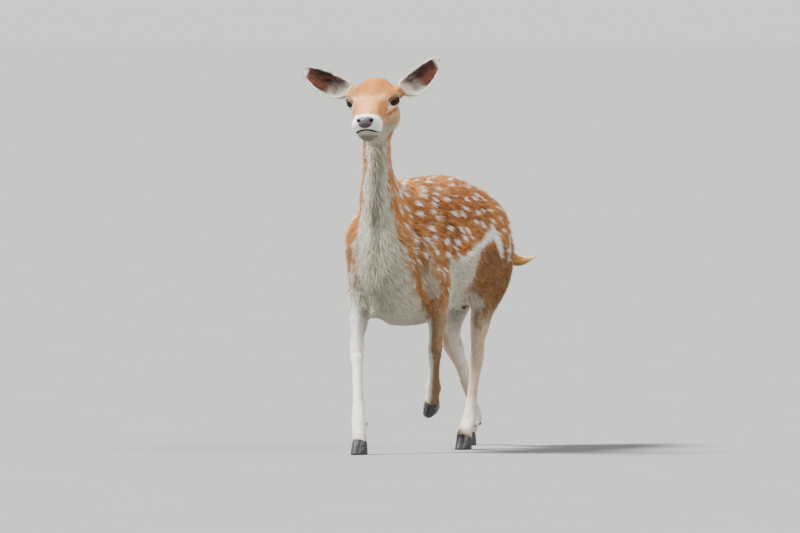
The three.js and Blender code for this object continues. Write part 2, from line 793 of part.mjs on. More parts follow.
// ---- torso
const hindNames = new Set(['hind_left', 'hind_right']);
const trunkAndNeck = solid(
  surface(
    flesh,
    ticks(-176, [-88, 30], [88, 26], [176, 30]),
    ticks(-245, [0, 27.5], [560, 56], [670, 30]),
    ticks(314, [670, 32], [1000, 41]),
  ),
);
let torso = trunkAndNeck.intersect(region([neckBaseCut], GAP / 2));
for (const [name, leg] of Object.entries(legs)) {
  torso = torso.subtract(region(legCuts(leg, hindNames.has(name)), -GAP / 2));
}

// ---- tail: it hangs from the rump, and its tip is flicked up and to her left. Its long hair lies in flat locks,
// in rows that overlap down the tail, over a core half as thick.
const tailLine = [
  { at: vec(0, 570, 644), side: 18, fore: 6, aft: 14 },
  { at: vec(1, 611, 627), side: 23, fore: 12, aft: 17 },
  { at: vec(2, 638, 592), side: 25, fore: 15, aft: 19 },
  { at: vec(7, 652, 550), side: 21, fore: 15, aft: 19 },
  { at: vec(22, 670, 520), side: 20, fore: 15, aft: 18 },
  { at: vec(43, 688, 508), side: 14, fore: 11, aft: 12 },
  { at: vec(73, 708, 517), side: 3.5, fore: 3, aft: 3 },
];
const TAIL_FACING = vec(0.3, 0.9, 0.3);
const tailCore = tailLine.map(({ at, side, fore, aft }, i) => {
  const share = i === 0 ? 1 : i === 1 ? 0.75 : 0.5;
  return { at, side: side * share, fore: fore * share, aft: aft * share };
});
const tailRows = smoothRows(tailLine);

// The point at a share of the tail's thickness, at an angle round it, some way from root (0) to tip (1).
function roundTail(way, angle, share) {
  const last = tailRows.length - 1;
  const i = Math.min(Math.floor(way * last), last - 1);
  const t = way * last - i;
  const row = tailRows[i].map((v, n) => mix(v, tailRows[i + 1][n], t));
  const along = vec(...tailRows[i + 1].slice(0, 3)).sub(vec(...tailRows[i].slice(0, 3))).normalize();
  const across = along.clone().cross(TAIL_FACING).normalize();
  const fore = across.clone().cross(along);
  const half = share * (Math.sin(angle) > 0 ? row[4] : row[5]);
  const out = across.multiplyScalar(share * row[3] * Math.cos(angle)).addScaledVector(fore, half * Math.sin(angle));
  return { at: vec(row[0], row[1], row[2]).add(out), out: out.clone().normalize(), size: row[3] };
}

const LOCK_ROWS = [
  { from: 0.15, to: 0.5, count: 5 },
  { from: 0.38, to: 0.74, count: 5 },
  { from: 0.62, to: 0.98, count: 4 },
];
function tailLocks() {
  const locks = [];
  LOCK_ROWS.forEach(({ from, to, count }, row) => {
    for (let i = 0; i < count; i++) {
      const angle = ((i + 0.5 * (row % 2)) / count) * 2 * Math.PI;
      const end = to - 0.05 * ((i * 2) % 3);
      const root = roundTail(from, angle, 0.2);
      const middle = roundTail(mix(from, end, 0.5), angle + 0.1, 0.88);
      const tip = roundTail(end, angle + 0.2, 0.94);
      const wide = (middle.size * Math.PI) / count + 1;
      const line = [
        { at: root.at, side: wide * 0.5, fore: 3, aft: 3 },
        { at: middle.at, side: wide, fore: 2.8, aft: 2.8 },
        { at: tip.at, side: 1.6, fore: 0.9, aft: 0.9 },
      ];
      locks.push(solid(loftAlong(line, middle.out, 4)));
    }
  });
  return locks.reduce((all, next) => all.add(next));
}

const tailCut = { point: vec(0, 604, 650), normal: vec(0, -0.72, 0.4).normalize() };
const rumpRoom = solid(
  surface((x, y, z) => flesh(x, y, z) - 2.5, ticks(-60, [60, 14]), ticks(500, [700, 14]), ticks(440, [700, 14])),
);
const tail = solid(loftAlong(tailCore, TAIL_FACING, 8))
  .intersect(region([tailCut], GAP / 2))
  .add(tailLocks().subtract(rumpRoom));
torso = torso.subtract(solid(loftAlong(tailCore, TAIL_FACING, 8, GAP)).intersect(region([tailCut], -GAP / 2)));

// ---- udder
const udderField = blend(
  7,
  ellipsoid(vec(0, 398, 410), [34, 46, 30]),
  ...mirrored((s) => ellipsoid(vec(s * 15, 378, 386), [6, 6, 15])),
  ...mirrored((s) => ellipsoid(vec(s * 15, 414, 386), [6, 6, 14])),
);
const udderCut = { point: vec(0, 398, 421), normal: vec(0, 0.08, 1).normalize() };
let udder = solid(surface(udderField, ticks(-42, [42, 12]), ticks(345, [452, 15]), ticks(364, [432, 11])));
udder = udder.intersect(region([udderCut], GAP / 2));
const udderRoom = solid(
  surface(
    (x, y, z) => udderField(x, y, z) - 4 * GAP,
    ticks(-42, [42, 12]),
    ticks(345, [452, 15]),
    ticks(364, [432, 11]),
  ),
);
torso = torso.subtract(udderRoom.intersect(region([udderCut], -GAP / 2)));
addNode('torso', torso, MATERIALS.coat);
addNode('tail', tail, MATERIALS.coat);
addNode('udder', udder, MATERIALS.pale);

// ---- neck
addNode('neck', trunkAndNeck.intersect(region([flipped(neckBaseCut), napeCut], GAP / 2)), MATERIALS.coat);

// ---- head: made in its own frame and then set on the neck
function inHeadFrame({ point, normal }) {
  const back = headFrame.clone().invert();
  return { point: point.clone().applyMatrix4(back), normal: normal.clone().transformDirection(back) };
}
const placeHead = (made) => solid(bareGeometry(made).applyMatrix4(headFrame));
const headGrid = [
  ticks(-98, [-44, 8], [44, 10.2], [98, 8]),
  ticks(-164, [-102, 7.2], [-28, 12], [26, 7.3], [132, 21.2]),
  ticks(-118, [-50, 17], [28, 7.4], [82, 12]),
];
const headWhole = solid(surface(placed(flesh, headFrame.clone().invert()), ...headGrid));

// Everything below the line between the lips, raised by some, between two distances from the front.
function belowLips(raise, from = -220, to = 120) {
  const shape = new THREE.Shape();
  const edge = 90;
  const steps = 16;
  shape.moveTo(-edge, -220);
  shape.lineTo(edge, -220);
  for (let i = 0; i <= steps; i++) {
    const x = mix(edge, -edge, i / steps);
    shape.lineTo(x, mouthLine(x) + raise);
  }
  const bar = new THREE.ExtrudeGeometry(shape, { depth: to - from, bevelEnabled: false, steps: 1 });
  return solid(bar.rotateX(Math.PI / 2).translate(0, to, 0));
}

const ball = (at, half, detail, turn = new THREE.Euler()) => {
  const round = new THREE.IcosahedronGeometry(1, detail).scale(...half).rotateX(turn.x).rotateY(turn.y);
  return solid(round.rotateZ(turn.z).translate(at.x, at.y, at.z));
};

// An almond-shaped opening along the way an eye looks, with its inner corner drawn out towards the nose.
function eyeOpening(side) {
  const gaze = gazeOf(side).normalize();
  const inward = vec(0, 0, 1).cross(gaze).multiplyScalar(side).normalize();
  const up = gaze.clone().cross(inward).multiplyScalar(side);
  const shape = new THREE.Shape();
  const [w, h] = [EYE.width / 2, EYE.height / 2];
  shape.moveTo(-w, -1);
  shape.quadraticCurveTo(-w * 0.6, h * 1.25, w * 0.1, h);
  shape.quadraticCurveTo(w * 0.7, h * 0.8, w, -1.5);
  shape.lineTo(w + 6, -5);
  shape.lineTo(w, -5);
  shape.quadraticCurveTo(w * 0.3, -h * 1.15, -w * 0.3, -h * 0.95);
  shape.quadraticCurveTo(-w * 0.8, -h * 0.7, -w, -1);
  const bar = new THREE.ExtrudeGeometry(shape, { depth: 40, bevelEnabled: false, curveSegments: 6 });
  const toNose = inward.clone().multiplyScalar(side);
  const frame = new THREE.Matrix4().makeBasis(toNose, up, gaze);
  if (frame.determinant() < 0) frame.makeBasis(toNose, up.negate(), gaze);
  return solid(bar.applyMatrix4(frame.setPosition(eyeAt(side))));
}

let headPiece = headWhole.intersect(region([flipped(inHeadFrame(napeCut))], GAP / 2));
for (const side of [LEFT, RIGHT]) {
  const r = EYE.radius + GAP;
  headPiece = headPiece
    .subtract(ball(eyeAt(side), [r, r, r], 3))
    .subtract(eyeOpening(side))
    .subtract(ball(vec(side * 47, -46, -7), [3.4, 15, 2.6], 1, new THREE.Euler(0.22, 0, side * 0.36))) // tear pit
    .subtract(ball(vec(side * 18.5, -149, 9), [7.4, 10, 4.6], 2, new THREE.Euler(0, side * 0.3, side * 0.7))); // nostril
}
// The lips part a little at the front, over a shallow groove.
const mouthCore = ball(vec(0, -62, -28), [34, 80, 40], 2);
const lipGap = belowLips(MOUTH.open * 0.6, -200, MOUTH.corner).subtract(belowLips(-MOUTH.open * 0.4));
headPiece = headPiece.subtract(lipGap.subtract(mouthCore));

const jawCuts = [{ point: vec(0, 2, -40), normal: vec(0, 1, 0.25) }];
const jaw = headPiece.intersect(belowLips(-GAP / 2)).intersect(region(jawCuts, GAP / 2));
let head = headPiece.subtract(belowLips(GAP / 2).intersect(region(jawCuts, -GAP / 2)));

function noseShape(grow) {
  const w = NOSE.halfWidth + grow;
  const shape = new THREE.Shape();
  shape.moveTo(-w, 12);
  shape.quadraticCurveTo(-w * 0.9, 21 + grow, -w * 0.4, 19 + grow);
  shape.quadraticCurveTo(0, 17 + grow, w * 0.4, 19 + grow);
  shape.quadraticCurveTo(w * 0.9, 21 + grow, w, 12);
  shape.quadraticCurveTo(w * 0.9, 1, w * 0.5, -6 - grow);
  shape.quadraticCurveTo(0, -11 - grow, -w * 0.5, -6 - grow);
  shape.quadraticCurveTo(-w * 0.9, 1, -w, 12);
  const bar = new THREE.ExtrudeGeometry(shape, { depth: 60, bevelEnabled: false, curveSegments: 4 });
  return solid(bar.rotateX(Math.PI / 2).translate(0, -NOSE.front + 14 - grow + 2 * grow, 0));
}
const nose = head.intersect(noseShape(-GAP / 2));
head = head.subtract(noseShape(GAP / 2));

// ---- ears: a leaf rolled into a cup, with its root cut flat against the head's stub
function earLeaf(sweep) {
  const rings = [];
  const across = 5;
  const steps = 11;
  const widest = 0.42;
  const shapeOf = (t) => {
    const toRoot = Math.max((widest - t) / widest, 0);
    const toTip = Math.max((t - widest) / (1 - widest), 0);
    const w = EAR.halfWidth * (1 - 0.48 * toRoot ** 2) * Math.max(1 - toTip ** 2.3, 0.004) ** 0.62;
    const roll = mix(2.5, 1.25, Math.min(t / 0.4, 1));
    return { w, roll, deep: Math.min(mix(EAR.cup, 6, t ** 0.8), w * 1.1) };
  };
  for (let i = 0; i <= steps; i++) {
    const t = 1 - (1 - i / steps) ** 1.15;
    const { w, roll, deep } = shapeOf(t);
    const fill = Math.max(1 - t / 0.16, 0);
    const wall = Math.min(EAR.wall, w * 0.4, deep * 0.5);
    const bend = -10 * Math.sin(Math.PI * t) + 8 * t * t;
    const slide = sweep * Math.sin(Math.PI * t ** 0.8);
    const arc = (a, inset) => {
      const phi = roll * a;
      const x = ((w - inset) * Math.sin(phi)) / Math.sin(Math.min(roll, Math.PI / 2));
      const y = ((deep - inset) * (Math.cos(phi) - Math.cos(roll))) / (1 - Math.cos(roll));
      return { x, y };
    };
    const ring = [];
    for (let k = -across; k <= across; k++) {
      const { x, y } = arc(k / across, 0);
      ring.push(vec(x + slide, y + bend, EAR.length * t));
    }
    for (let k = across - 1; k > -across; k--) {
      const { x, y } = arc((k / across) * 0.94, wall);
      const front = -9 * Math.cos((k / across) * 1.5);
      ring.push(vec(mix(x, x * 0.9, fill) + slide, mix(y, front, fill) + bend, EAR.length * t - wall * 0.3 * (1 - t)));
    }
    rings.push(ring.reverse());
  }
  return loft(rings, (i) => i < 2 * across - 2);
}

function earFrame(ear, out) {
  const front = ear.opening.clone().addScaledVector(ear.towards, -ear.opening.dot(ear.towards)).normalize();
  const back = front.negate();
  const side = back.clone().cross(ear.towards);
  const at = ear.root.clone().addScaledVector(ear.towards, out);
  return new THREE.Matrix4().makeBasis(side, back, ear.towards).setPosition(at);
}

const ears = {};
for (const [name, ear] of Object.entries(EARS)) {
  const plane = { point: ear.root.clone().addScaledVector(ear.towards, EAR_STUB), normal: ear.towards };
  head = head.intersect(region([plane], GAP / 2));
  const leaf = solid(earLeaf(ear.sweep).applyMatrix4(earFrame(ear, EAR_STUB - 4)));
  ears[name] = leaf.intersect(region([flipped(plane)], GAP / 2));
}

addNode('head', placeHead(largestOf(head)), MATERIALS.coat);
addNode('lower_jaw', placeHead(largestOf(jaw)), MATERIALS.pale);
addNode('nose_pad', placeHead(largestOf(nose)), MATERIALS.nose);
for (const [name, side] of [
  ['left', LEFT],
  ['right', RIGHT],
]) {
  addNode(`ear_${name}`, placeHead(ears[name]), MATERIALS.coat);
  const r = EYE.radius;
  addNode(`eye_${name}`, placeHead(ball(eyeAt(side), [r, r, r], 3)), MATERIALS.eye);
}

// ---- feet
// One claw of a hoof, its flat sole on z = 0 and its toe towards -Y. Its straight side faces its partner on -X.
function claw() {
  const levels = [
    { z: 0, toe: -40, heel: 18, half: 1 },
    { z: 3, toe: -40.5, heel: 19.5, half: 1.03 },
    { z: 20, toe: -30, heel: 20, half: 1 },
    { z: 38, toe: -20, heel: 17, half: 0.93 },
    { z: 56, toe: -14, heel: 14, half: 0.85 },
  ];
  const rings = levels.map(({ z, toe, heel, half }) => {
    const ring = [];
    const count = 10;
    for (let i = 0; i < count; i++) {
      const a = (i / count) * 2 * Math.PI;
      const along = -Math.cos(a);
      const y = along < 0 ? -toe * along : heel * along;
      const taper = along < 0 ? 1 - 0.3 * along * along : 1;
      const outer = CLAW.width * half * Math.max(Math.sin(a), 0) ** 0.75 * taper;
      const inner = 0.6 * Math.min(Math.sin(a), 0);
      ring.push(vec(CLAW.apart / 2 + outer + inner, y, z));
    }
    return ring;
  });
  return loft(rings);
}

// A small claw behind the fetlock: a blunt cone that points down and back.
function dewclaw() {
  const outline = [
    [0, -11],
    [5, -8],
    [7, 2],
    [6, 12],
    [0, 14],
  ].map(([r, z]) => new THREE.Vector2(r, z));
  return new THREE.LatheGeometry(outline, 6);
}

function mirrorX(geometry) {
  const flippedOver = geometry.scale(-1, 1, 1);
  const order = flippedOver.index.array;
  for (let i = 0; i < order.length; i += 3) [order[i], order[i + 1]] = [order[i + 1], order[i]];
  return flippedOver;
}

for (const [name, leg] of Object.entries(legs)) {
  const hind = hindNames.has(name);
  const knee = kneeCut(leg);
  const xs = leg.side > 0 ? ticks(-14, [154, 16]) : ticks(-154, [14, 16]);
  const upper = hind
    ? surface(flesh, xs, ticks(leg.stifle.y - 92, [680, 21]), ticks(knee.point.z - 40, [600, 27]))
    : surface(flesh, xs, ticks(leg.elbow.y - 112, [leg.elbow.y + 122, 14]), ticks(knee.point.z - 40, [520, 21]));
  const kept = solid(upper).intersect(region([...legCuts(leg, hind), knee], GAP / 2));
  addNode(`${name}_upper_leg`, hind ? kept.subtract(udderRoom) : kept, MATERIALS.coat);

  const along = frameAlong(leg.fetlock, leg.joint);
  const reach = leg.fetlock.distanceTo(leg.joint);
  const lowerField = surface(
    leg.flesh,
    ticks(-33, [33, 11]),
    ticks(-77, [77, 11.85]),
    ticks(-100, [24, 14], [reach - 20, 48], [reach + 16, 18]),
    along,
  );
  const ends = region([flipped(knee), coronetCut(leg)], GAP / 2);
  let lower = solid(lowerField).intersect(ends);

  // The foot's own frame: on the floor under the coronet, or hanging from it where the foot is raised.
  const down = leg.coronet.clone().sub(leg.fetlock).normalize();
  let foot = new THREE.Matrix4().makeTranslation(leg.coronet.x, leg.coronet.y, 0);
  if (name === 'fore_left') {
    const toe = vec(-0.1, -0.62, -0.6).projectOnPlane(down).normalize();
    const sideways = toe.clone().cross(down).normalize();
    const tilt = new THREE.Matrix4().makeBasis(sideways, toe.clone().negate(), down.clone().negate());
    foot = tilt.setPosition(leg.coronet.clone().addScaledVector(down, CORONET.height));
  }
  for (const part of ['inner', 'outer']) {
    const side = part === 'outer' ? leg.side : -leg.side;
    const oneClaw = side > 0 ? claw() : mirrorX(claw());
    const hoof = solid(oneClaw.applyMatrix4(foot)).intersect(region([flipped(coronetCut(leg))], GAP / 2));
    addNode(`${name}_hoof_${part}`, hoof, MATERIALS.horn);
  }

  const back = FORWARD.clone().negate().projectOnPlane(down).normalize();
  const across = back.clone().cross(down).normalize();
  for (const part of ['inner', 'outer']) {
    const side = (part === 'outer' ? 1 : -1) * leg.side * Math.sign(across.x);
    const at = leg.fetlock.clone().addScaledVector(down, 15).addScaledVector(back, 12).addScaledVector(across, side * 10);
    const lean = down.clone().addScaledVector(back, 0.8).normalize().negate();
    const turn = new THREE.Quaternion().setFromUnitVectors(vec(0, 0, 1), lean);
    const cone = solid(dewclaw().applyQuaternion(turn).translate(at.x, at.y, at.z));
    const clear = solid(dewclaw().scale(1.04, 1.04, 1.03).applyQuaternion(turn).translate(at.x, at.y, at.z));
    const outOf = back.clone().addScaledVector(down, 0.3).addScaledVector(across, side * 0.3).normalize();
    const skinAt = leg.fetlock.clone().addScaledVector(down, 15).addScaledVector(outOf, 13);
    const face = { point: skinAt, normal: outOf };
    addNode(`${name}_dewclaw_${part}`, cone.intersect(region([flipped(face)], GAP / 2)), MATERIALS.horn);
    lower = lower.subtract(clear.intersect(region([flipped(face)], -GAP / 2)));
  }
  addNode(`${name}_lower_leg`, lower, MATERIALS.pale);
}

// The model stands with its origin on the floor, under the middle of its bounding box.
const bounds = new THREE.Box3().setFromObject(group);
const middle = bounds.getCenter(vec());
group.position.set(-middle.x, -middle.y, -bounds.min.z);

export default group;
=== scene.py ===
# %% [markdown]
# # A fallow doe, dressed
# The solids of a life-size fallow doe come in as a fixed frame: body parts that meet face to face. This notebook
# lays one skin over the flesh, sets eyes, lids and hooves, and grows the coat as thin solid tufts that follow the
# lie of the hair. Everything is in metres, in the place where the solids already are.

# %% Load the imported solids
import json
import math

import bpy
import numpy as np
from mathutils import Matrix, Vector
from mathutils.bvhtree import BVHTree

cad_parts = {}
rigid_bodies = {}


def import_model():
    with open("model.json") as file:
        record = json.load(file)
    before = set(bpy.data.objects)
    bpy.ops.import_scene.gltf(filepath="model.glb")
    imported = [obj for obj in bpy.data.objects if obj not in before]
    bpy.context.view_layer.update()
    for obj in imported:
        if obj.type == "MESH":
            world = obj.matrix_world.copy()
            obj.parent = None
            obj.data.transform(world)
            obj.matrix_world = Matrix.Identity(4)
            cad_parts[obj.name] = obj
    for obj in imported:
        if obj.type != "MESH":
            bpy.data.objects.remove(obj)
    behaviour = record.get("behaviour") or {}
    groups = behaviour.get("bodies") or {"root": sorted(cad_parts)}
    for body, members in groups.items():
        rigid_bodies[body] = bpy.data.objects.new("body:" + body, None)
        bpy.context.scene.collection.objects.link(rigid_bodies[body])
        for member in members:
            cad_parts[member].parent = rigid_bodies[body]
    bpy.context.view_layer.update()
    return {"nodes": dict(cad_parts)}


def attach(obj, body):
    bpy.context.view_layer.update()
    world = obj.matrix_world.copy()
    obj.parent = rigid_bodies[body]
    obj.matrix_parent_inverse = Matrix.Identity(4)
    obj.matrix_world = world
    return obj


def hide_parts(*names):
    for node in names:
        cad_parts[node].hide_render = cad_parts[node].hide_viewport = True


for leftover in list(bpy.data.objects):  # a new file's own cube, lamp and camera
    bpy.data.objects.remove(leftover)
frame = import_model()

nodes = frame["nodes"]
random = np.random.default_rng(20)

# %% [markdown]
# ## Places on the body
# A deer is easiest to talk about in its own terms: millimetres from a point under the middle of the chest, with
# the nose towards -Y and her left towards +X. The head has a frame of its own, because it is turned and tipped:
# its origin lies midway between the eyes, the nose points along -Y and the crown along +Z. Small functions turn
# either kind of place into model metres and back. An empty could carry the head's frame, but then numpy can't.

# %% Frames of the body and the head
BODY_ORIGIN = Vector((0.012913, -0.176054, 0.0))
HEAD_AT = (22, -219, 954)
HEAD_TURN = (("Z", 16), ("X", 24), ("Y", -3))  # degrees to her left, nose down, and tilted


def on_body(x, y, z):
    return BODY_ORIGIN + Vector((x, y, z)) / 1000


head_frame = Matrix.Translation(on_body(*HEAD_AT))
for axis, degrees in HEAD_TURN:
    head_frame = head_frame @ Matrix.Rotation(math.radians(degrees), 4, axis)
HEAD_AXES, HEAD_ORIGIN = np.array(head_frame.to_3x3()), np.array(head_frame.translation)


def head_direction(x, y, z):
    return (head_frame.to_3x3() @ Vector((x, y, z))).normalized()


def body_mm(points):
    return (points - np.array(BODY_ORIGIN)) * 1000


def head_mm(points):
    return (points - HEAD_ORIGIN) @ HEAD_AXES * 1000


print("head origin:", [round(v, 3) for v in head_frame.translation])

# %% [markdown]
# ## Working with meshes by hand and by number
# Blender's operators act on whatever is selected, so helpers select one object, or run operators on all of it in
# edit mode. Sculpting a soft animal by hand would move tens of thousands of points. Numpy does that in one step,
# so other helpers read and write a mesh's points.

# %% Selection and edit helpers
def select_only(piece, *others):
    """Selects these pieces and nothing else, with the first one active."""
    for other in bpy.context.view_layer.objects:
        other.select_set(False)
    for chosen in (piece, *others):
        chosen.select_set(True)
    bpy.context.view_layer.objects.active = piece


def edit(piece, *steps):
    """Runs operators, each with its settings, on the whole of a piece in edit mode."""
    select_only(piece)
    bpy.ops.object.mode_set(mode="EDIT")
    bpy.ops.mesh.select_all(action="SELECT")
    for operator, settings in steps:
        operator(**settings)
    bpy.ops.object.mode_set(mode="OBJECT")


def apply_modifier(piece, kind, **settings):
    select_only(piece)
    modifier = piece.modifiers.new(kind.lower(), kind)
    for key, value in settings.items():
        setattr(modifier, key, value)
    bpy.ops.object.modifier_apply(modifier=modifier.name)


def put_in_scene(name, data):
    piece = bpy.data.objects.new(name, data)
    bpy.context.collection.objects.link(piece)
    return piece


def cad_copy(node, name):
    """A copy of a solid's mesh, with its loose triangles merged."""
    piece = put_in_scene(name, nodes[node].data.copy())
    piece.data.materials.clear()
    edit(piece, (bpy.ops.mesh.remove_doubles, {"threshold": 0.00002}))
    return piece


# %% Points as arrays
def read(items, key, width=3, kind=float):
    values = np.zeros(len(items) * width, kind)
    items.foreach_get(key, values)
    return values.reshape(-1, width)


def points_of(mesh):
    return read(mesh.vertices, "co")


def normals_of(mesh):
    return read(mesh.vertex_normals, "vector")


def move_points(mesh, co):
    mesh.vertices.foreach_set("co", np.asarray(co, float).ravel())
    mesh.update()


def raise_points(mesh, mm):
    """Moves each point out along its normal by so many millimetres."""
    move_points(mesh, points_of(mesh) + normals_of(mesh) * mm[:, None] / 1000)


def unit(vectors):
    return vectors / np.maximum(np.linalg.norm(vectors, axis=-1, keepdims=True), 1e-9)


# %% Soft steps and bumps
def smooth(low, high, x):
    """Zero at low, one at high, with a soft step between. Low may be the larger of the two."""
    t = np.clip((np.asarray(x, float) - low) / (high - low), 0, 1)
    return t * t * (3 - 2 * t)


def bump_at(x, centre, width):
    return np.exp(-(((x - centre) / width) ** 2))


def line_distance(mm, start, end):
    """Distance from each point to a straight line between two places, and how far along it lies."""
    start, end = np.array(start, float), np.array(end, float)
    along = end - start
    t = np.clip((mm - start) @ along / (along @ along), 0, 1)
    return np.linalg.norm(mm - start - t[:, None] * along, axis=1), t


# %% [markdown]
# ## The core of the tail
# Under a doe's long tail hair is a thin fleshy dock. A curve with a bevel could draw it, but a row of extrusions
# shows how it is made by hand: it starts as a disc on the rump and is pulled out station by station, and each
# station moves the end and resizes it. The long hair comes later.

# %% Extrude the dock of the tail
DOCK = [((0, 570, 644), 15), ((1, 611, 627), 13), ((2, 638, 592), 11), ((7, 652, 550), 9), ((20, 669, 522), 7),
        ((38, 684, 510), 4)]  # middle and radius of each station, mm
DOCK_SLOPE = math.radians(-115)

bpy.ops.object.select_all(action="DESELECT")
start, size = DOCK[0]
bpy.ops.mesh.primitive_circle_add(vertices=14, radius=size / 1000, fill_type="NGON", location=on_body(*start),
                                  rotation=(DOCK_SLOPE, 0, 0))
dock = bpy.context.object
bpy.ops.object.transform_apply(location=True, rotation=True, scale=True)
bpy.ops.object.mode_set(mode="EDIT")
bpy.ops.mesh.select_all(action="SELECT")
for (a, size_a), (b, size_b) in zip(DOCK, DOCK[1:]):
    step = (Vector(b) - Vector(a)) / 1000
    bpy.ops.mesh.extrude_region_move(TRANSFORM_OT_translate={"value": step})
    bpy.ops.transform.resize(value=(size_b / size_a,) * 3)
bpy.ops.mesh.select_all(action="SELECT")
bpy.ops.mesh.normals_make_consistent(inside=False)
bpy.ops.object.mode_set(mode="OBJECT")
print("dock faces:", len(dock.data.polygons))

# %% [markdown]
# ## One skin
# The flesh comes as separate solids with hair-thin gaps, but a real hide has no seams. Boolean unions would leave
# creases where two solids meet, so copies of the flesh are joined and wrapped by a voxel remesh, which closes
# gaps finer than its cell. The nearest solid then says which body part each point of the skin belongs to.

# %% Wrap the flesh in one closed surface
SKIN_CELL = 0.0022
NOT_FLESH = ("eye", "hoof", "dewclaw", "tail")
FLESH = [name for name in nodes if not any(word in name for word in NOT_FLESH)]

skin = dock
select_only(skin, *[cad_copy(name, "flesh") for name in FLESH])
bpy.ops.object.join()
skin.name = skin.data.name = "skin"
apply_modifier(skin, "REMESH", mode="VOXEL", voxel_size=SKIN_CELL)
print("wrapped:", len(skin.data.vertices))


# %% Know which body part every point belongs to
def nearest_part(points, names):
    """The index in names of the solid whose surface is nearest to each point."""
    vertices, faces, owner = [], [], []
    for index, name in enumerate(names):
        mesh = nodes[name].data
        base = len(vertices)
        vertices += [v.co[:] for v in mesh.vertices]
        faces += [[base + v for v in p.vertices] for p in mesh.polygons]
        owner += [index] * len(mesh.polygons)
    tree = BVHTree.FromPolygons(vertices, faces)
    return np.array([owner[tree.find_nearest(p)[2]] for p in points])


PARTS = FLESH + ["tail"]
part = nearest_part(points_of(skin.data), PARTS)
print("points per part:", {PARTS[i]: int(n) for i, n in enumerate(np.bincount(part))})

# %% [markdown]
# ## Round where she is round, fine where she is small
# A barrel of a trunk shows every flat face of its solid, while a lip or an ear is lost by the same smoothing. One
# smooth modifier for all would spoil one or the other. So vertex groups weigh each body part: many rounds act on
# trunk and thighs, a few on the rest. The same way of weighing then thins the mesh out where the form is broad.

# %% Smooth by vertex groups
BROAD = {"torso": 1.0, "neck": 1.0, "udder": 0.3, "upper_leg": 0.75, "head": 0.04, "lower_jaw": 0.1}


def value_of(name, table, default=0.0):
    """The value of the first word of a table that is in a part's name."""
    return next((value for word, value in table.items() if word in name), default)


def per_part(table, default=0.0):
    return np.array([value_of(name, table, default) for name in PARTS])


def weigh(piece, group_name, table, default=0.0):
    group = piece.vertex_groups.new(name=group_name)
    for index, weight in enumerate(per_part(table, default)):
        chosen = np.flatnonzero(part == index)
        if len(chosen):
            group.add(chosen.tolist(), weight, "REPLACE")


weigh(skin, "broad", BROAD)
weigh(skin, "light", {"ear": 0.35}, 1.0)
for group, rounds in (("light", 7), ("broad", 70)):
    apply_modifier(skin, "SMOOTH", factor=0.5, iterations=rounds, vertex_group=group)

# %% Thin out the mesh, but not on the face and ears
weigh(skin, "coarse", dict.fromkeys(("head", "lower_jaw", "nose_pad", "ear"), 0.0), 1.0)
apply_modifier(skin, "DECIMATE", ratio=0.22, vertex_group="coarse", vertex_group_factor=8)
part = nearest_part(points_of(skin.data), PARTS)
print("thinned:", len(skin.data.polygons), {PARTS[i]: int(n) for i, n in enumerate(np.bincount(part))})

# %% [markdown]
# ## The hide lies under the coat
# The solids give the outline of the coat, so the hide lies a little inside them: deep where the hair is long,
# almost nothing on the face and feet. A shrinkwrap or a displace modifier has one depth for all, so each body
# part has its own, blended over the mesh from point to point.

# %% Sink the hide by the depth of the coat
DEPTH = {"torso": 7.0, "neck": 7.0, "udder": 2.0, "upper_leg": 4.5, "lower_leg": 1.3, "head": 1.4,
         "lower_jaw": 1.6, "nose_pad": 0.0, "ear": 0.1, "tail": 0.5}  # mm


def short_haired(points):
    """One on the legs below the trunk's edge, where the hair is short, and zero on the trunk."""
    y, z = body_mm(points)[:, 1:].T
    return smooth(0, 60, np.where(y < 200, 430, 400) - z)


def soften(values, mesh, rounds):
    """Each point's value is blended with its neighbours' again and again."""
    pairs = read(mesh.edges, "vertices", 2, np.int64)
    a, b = np.concatenate([pairs, pairs[:, ::-1]]).T
    order = np.argsort(a, kind="stable")
    a, b = a[order], b[order]
    starts = np.flatnonzero(np.r_[True, np.diff(a) > 0])
    near = np.diff(np.r_[starts, len(a)])
    out = np.array(values, float)
    flat = out.reshape(len(out), -1)
    for _ in range(rounds):
        mean = np.add.reduceat(flat[b], starts, axis=0) / near[:, None]
        flat[a[starts]] = 0.5 * flat[a[starts]] + 0.5 * mean
    return flat.reshape(out.shape)


depth = soften(per_part(DEPTH)[part], skin.data, 5)
depth *= 1 - 0.55 * short_haired(points_of(skin.data))
raise_points(skin.data, -depth)
print("coat depth mm:", round(depth.min(), 2), "to", round(depth.max(), 2))

# %% [markdown]
# ## The folds of the face
# An animal's face has lid folds, a bag and a tear line under the eye, and lips. They could be sculpted with
# brushes, which leaves nothing to read or change. Here each is a small hill or groove with a size in the head's
# own millimetres, and both sides share it. The mesh is made finer round eyes, nose and lips first.

# %% Where the eyes and the mouth are
EYE_AT = np.array([53, -3, 3])
EYE_TURN = math.radians(43)  # how far out each eye looks
EYE_UP = np.array([0.0, 0.05, 1.0])
MOUTH = {"middle": -14, "drop": 20, "reach": 36, "corner": -84}
CREASE = (30, 26, 42), (44, -8, 27)  # from the ear's root down to the brow
TEAR_LINE = (43, -20, -3), (35, -52, -16)


def gaze_of(side):
    return np.array([side * math.sin(EYE_TURN), -math.cos(EYE_TURN), 0.05])


def mouth_line(x):
    """How high the line between the lips lies at each distance from the middle."""
    return MOUTH["middle"] - MOUTH["drop"] * np.minimum((x / MOUTH["reach"]) ** 2, 1.15)


def mirror(mm):
    """Places on either side of the head, brought over to her left."""
    return np.c_[np.abs(mm[:, 0]), mm[:, 1:]]


def in_gaze(mm):
    """Places round an eye: across towards the nose, up, and straight out, in millimetres from its middle."""
    forward = np.cross(EYE_UP, gaze_of(1))
    place = mirror(mm) - EYE_AT
    return place @ -forward, place @ EYE_UP, place @ gaze_of(1)


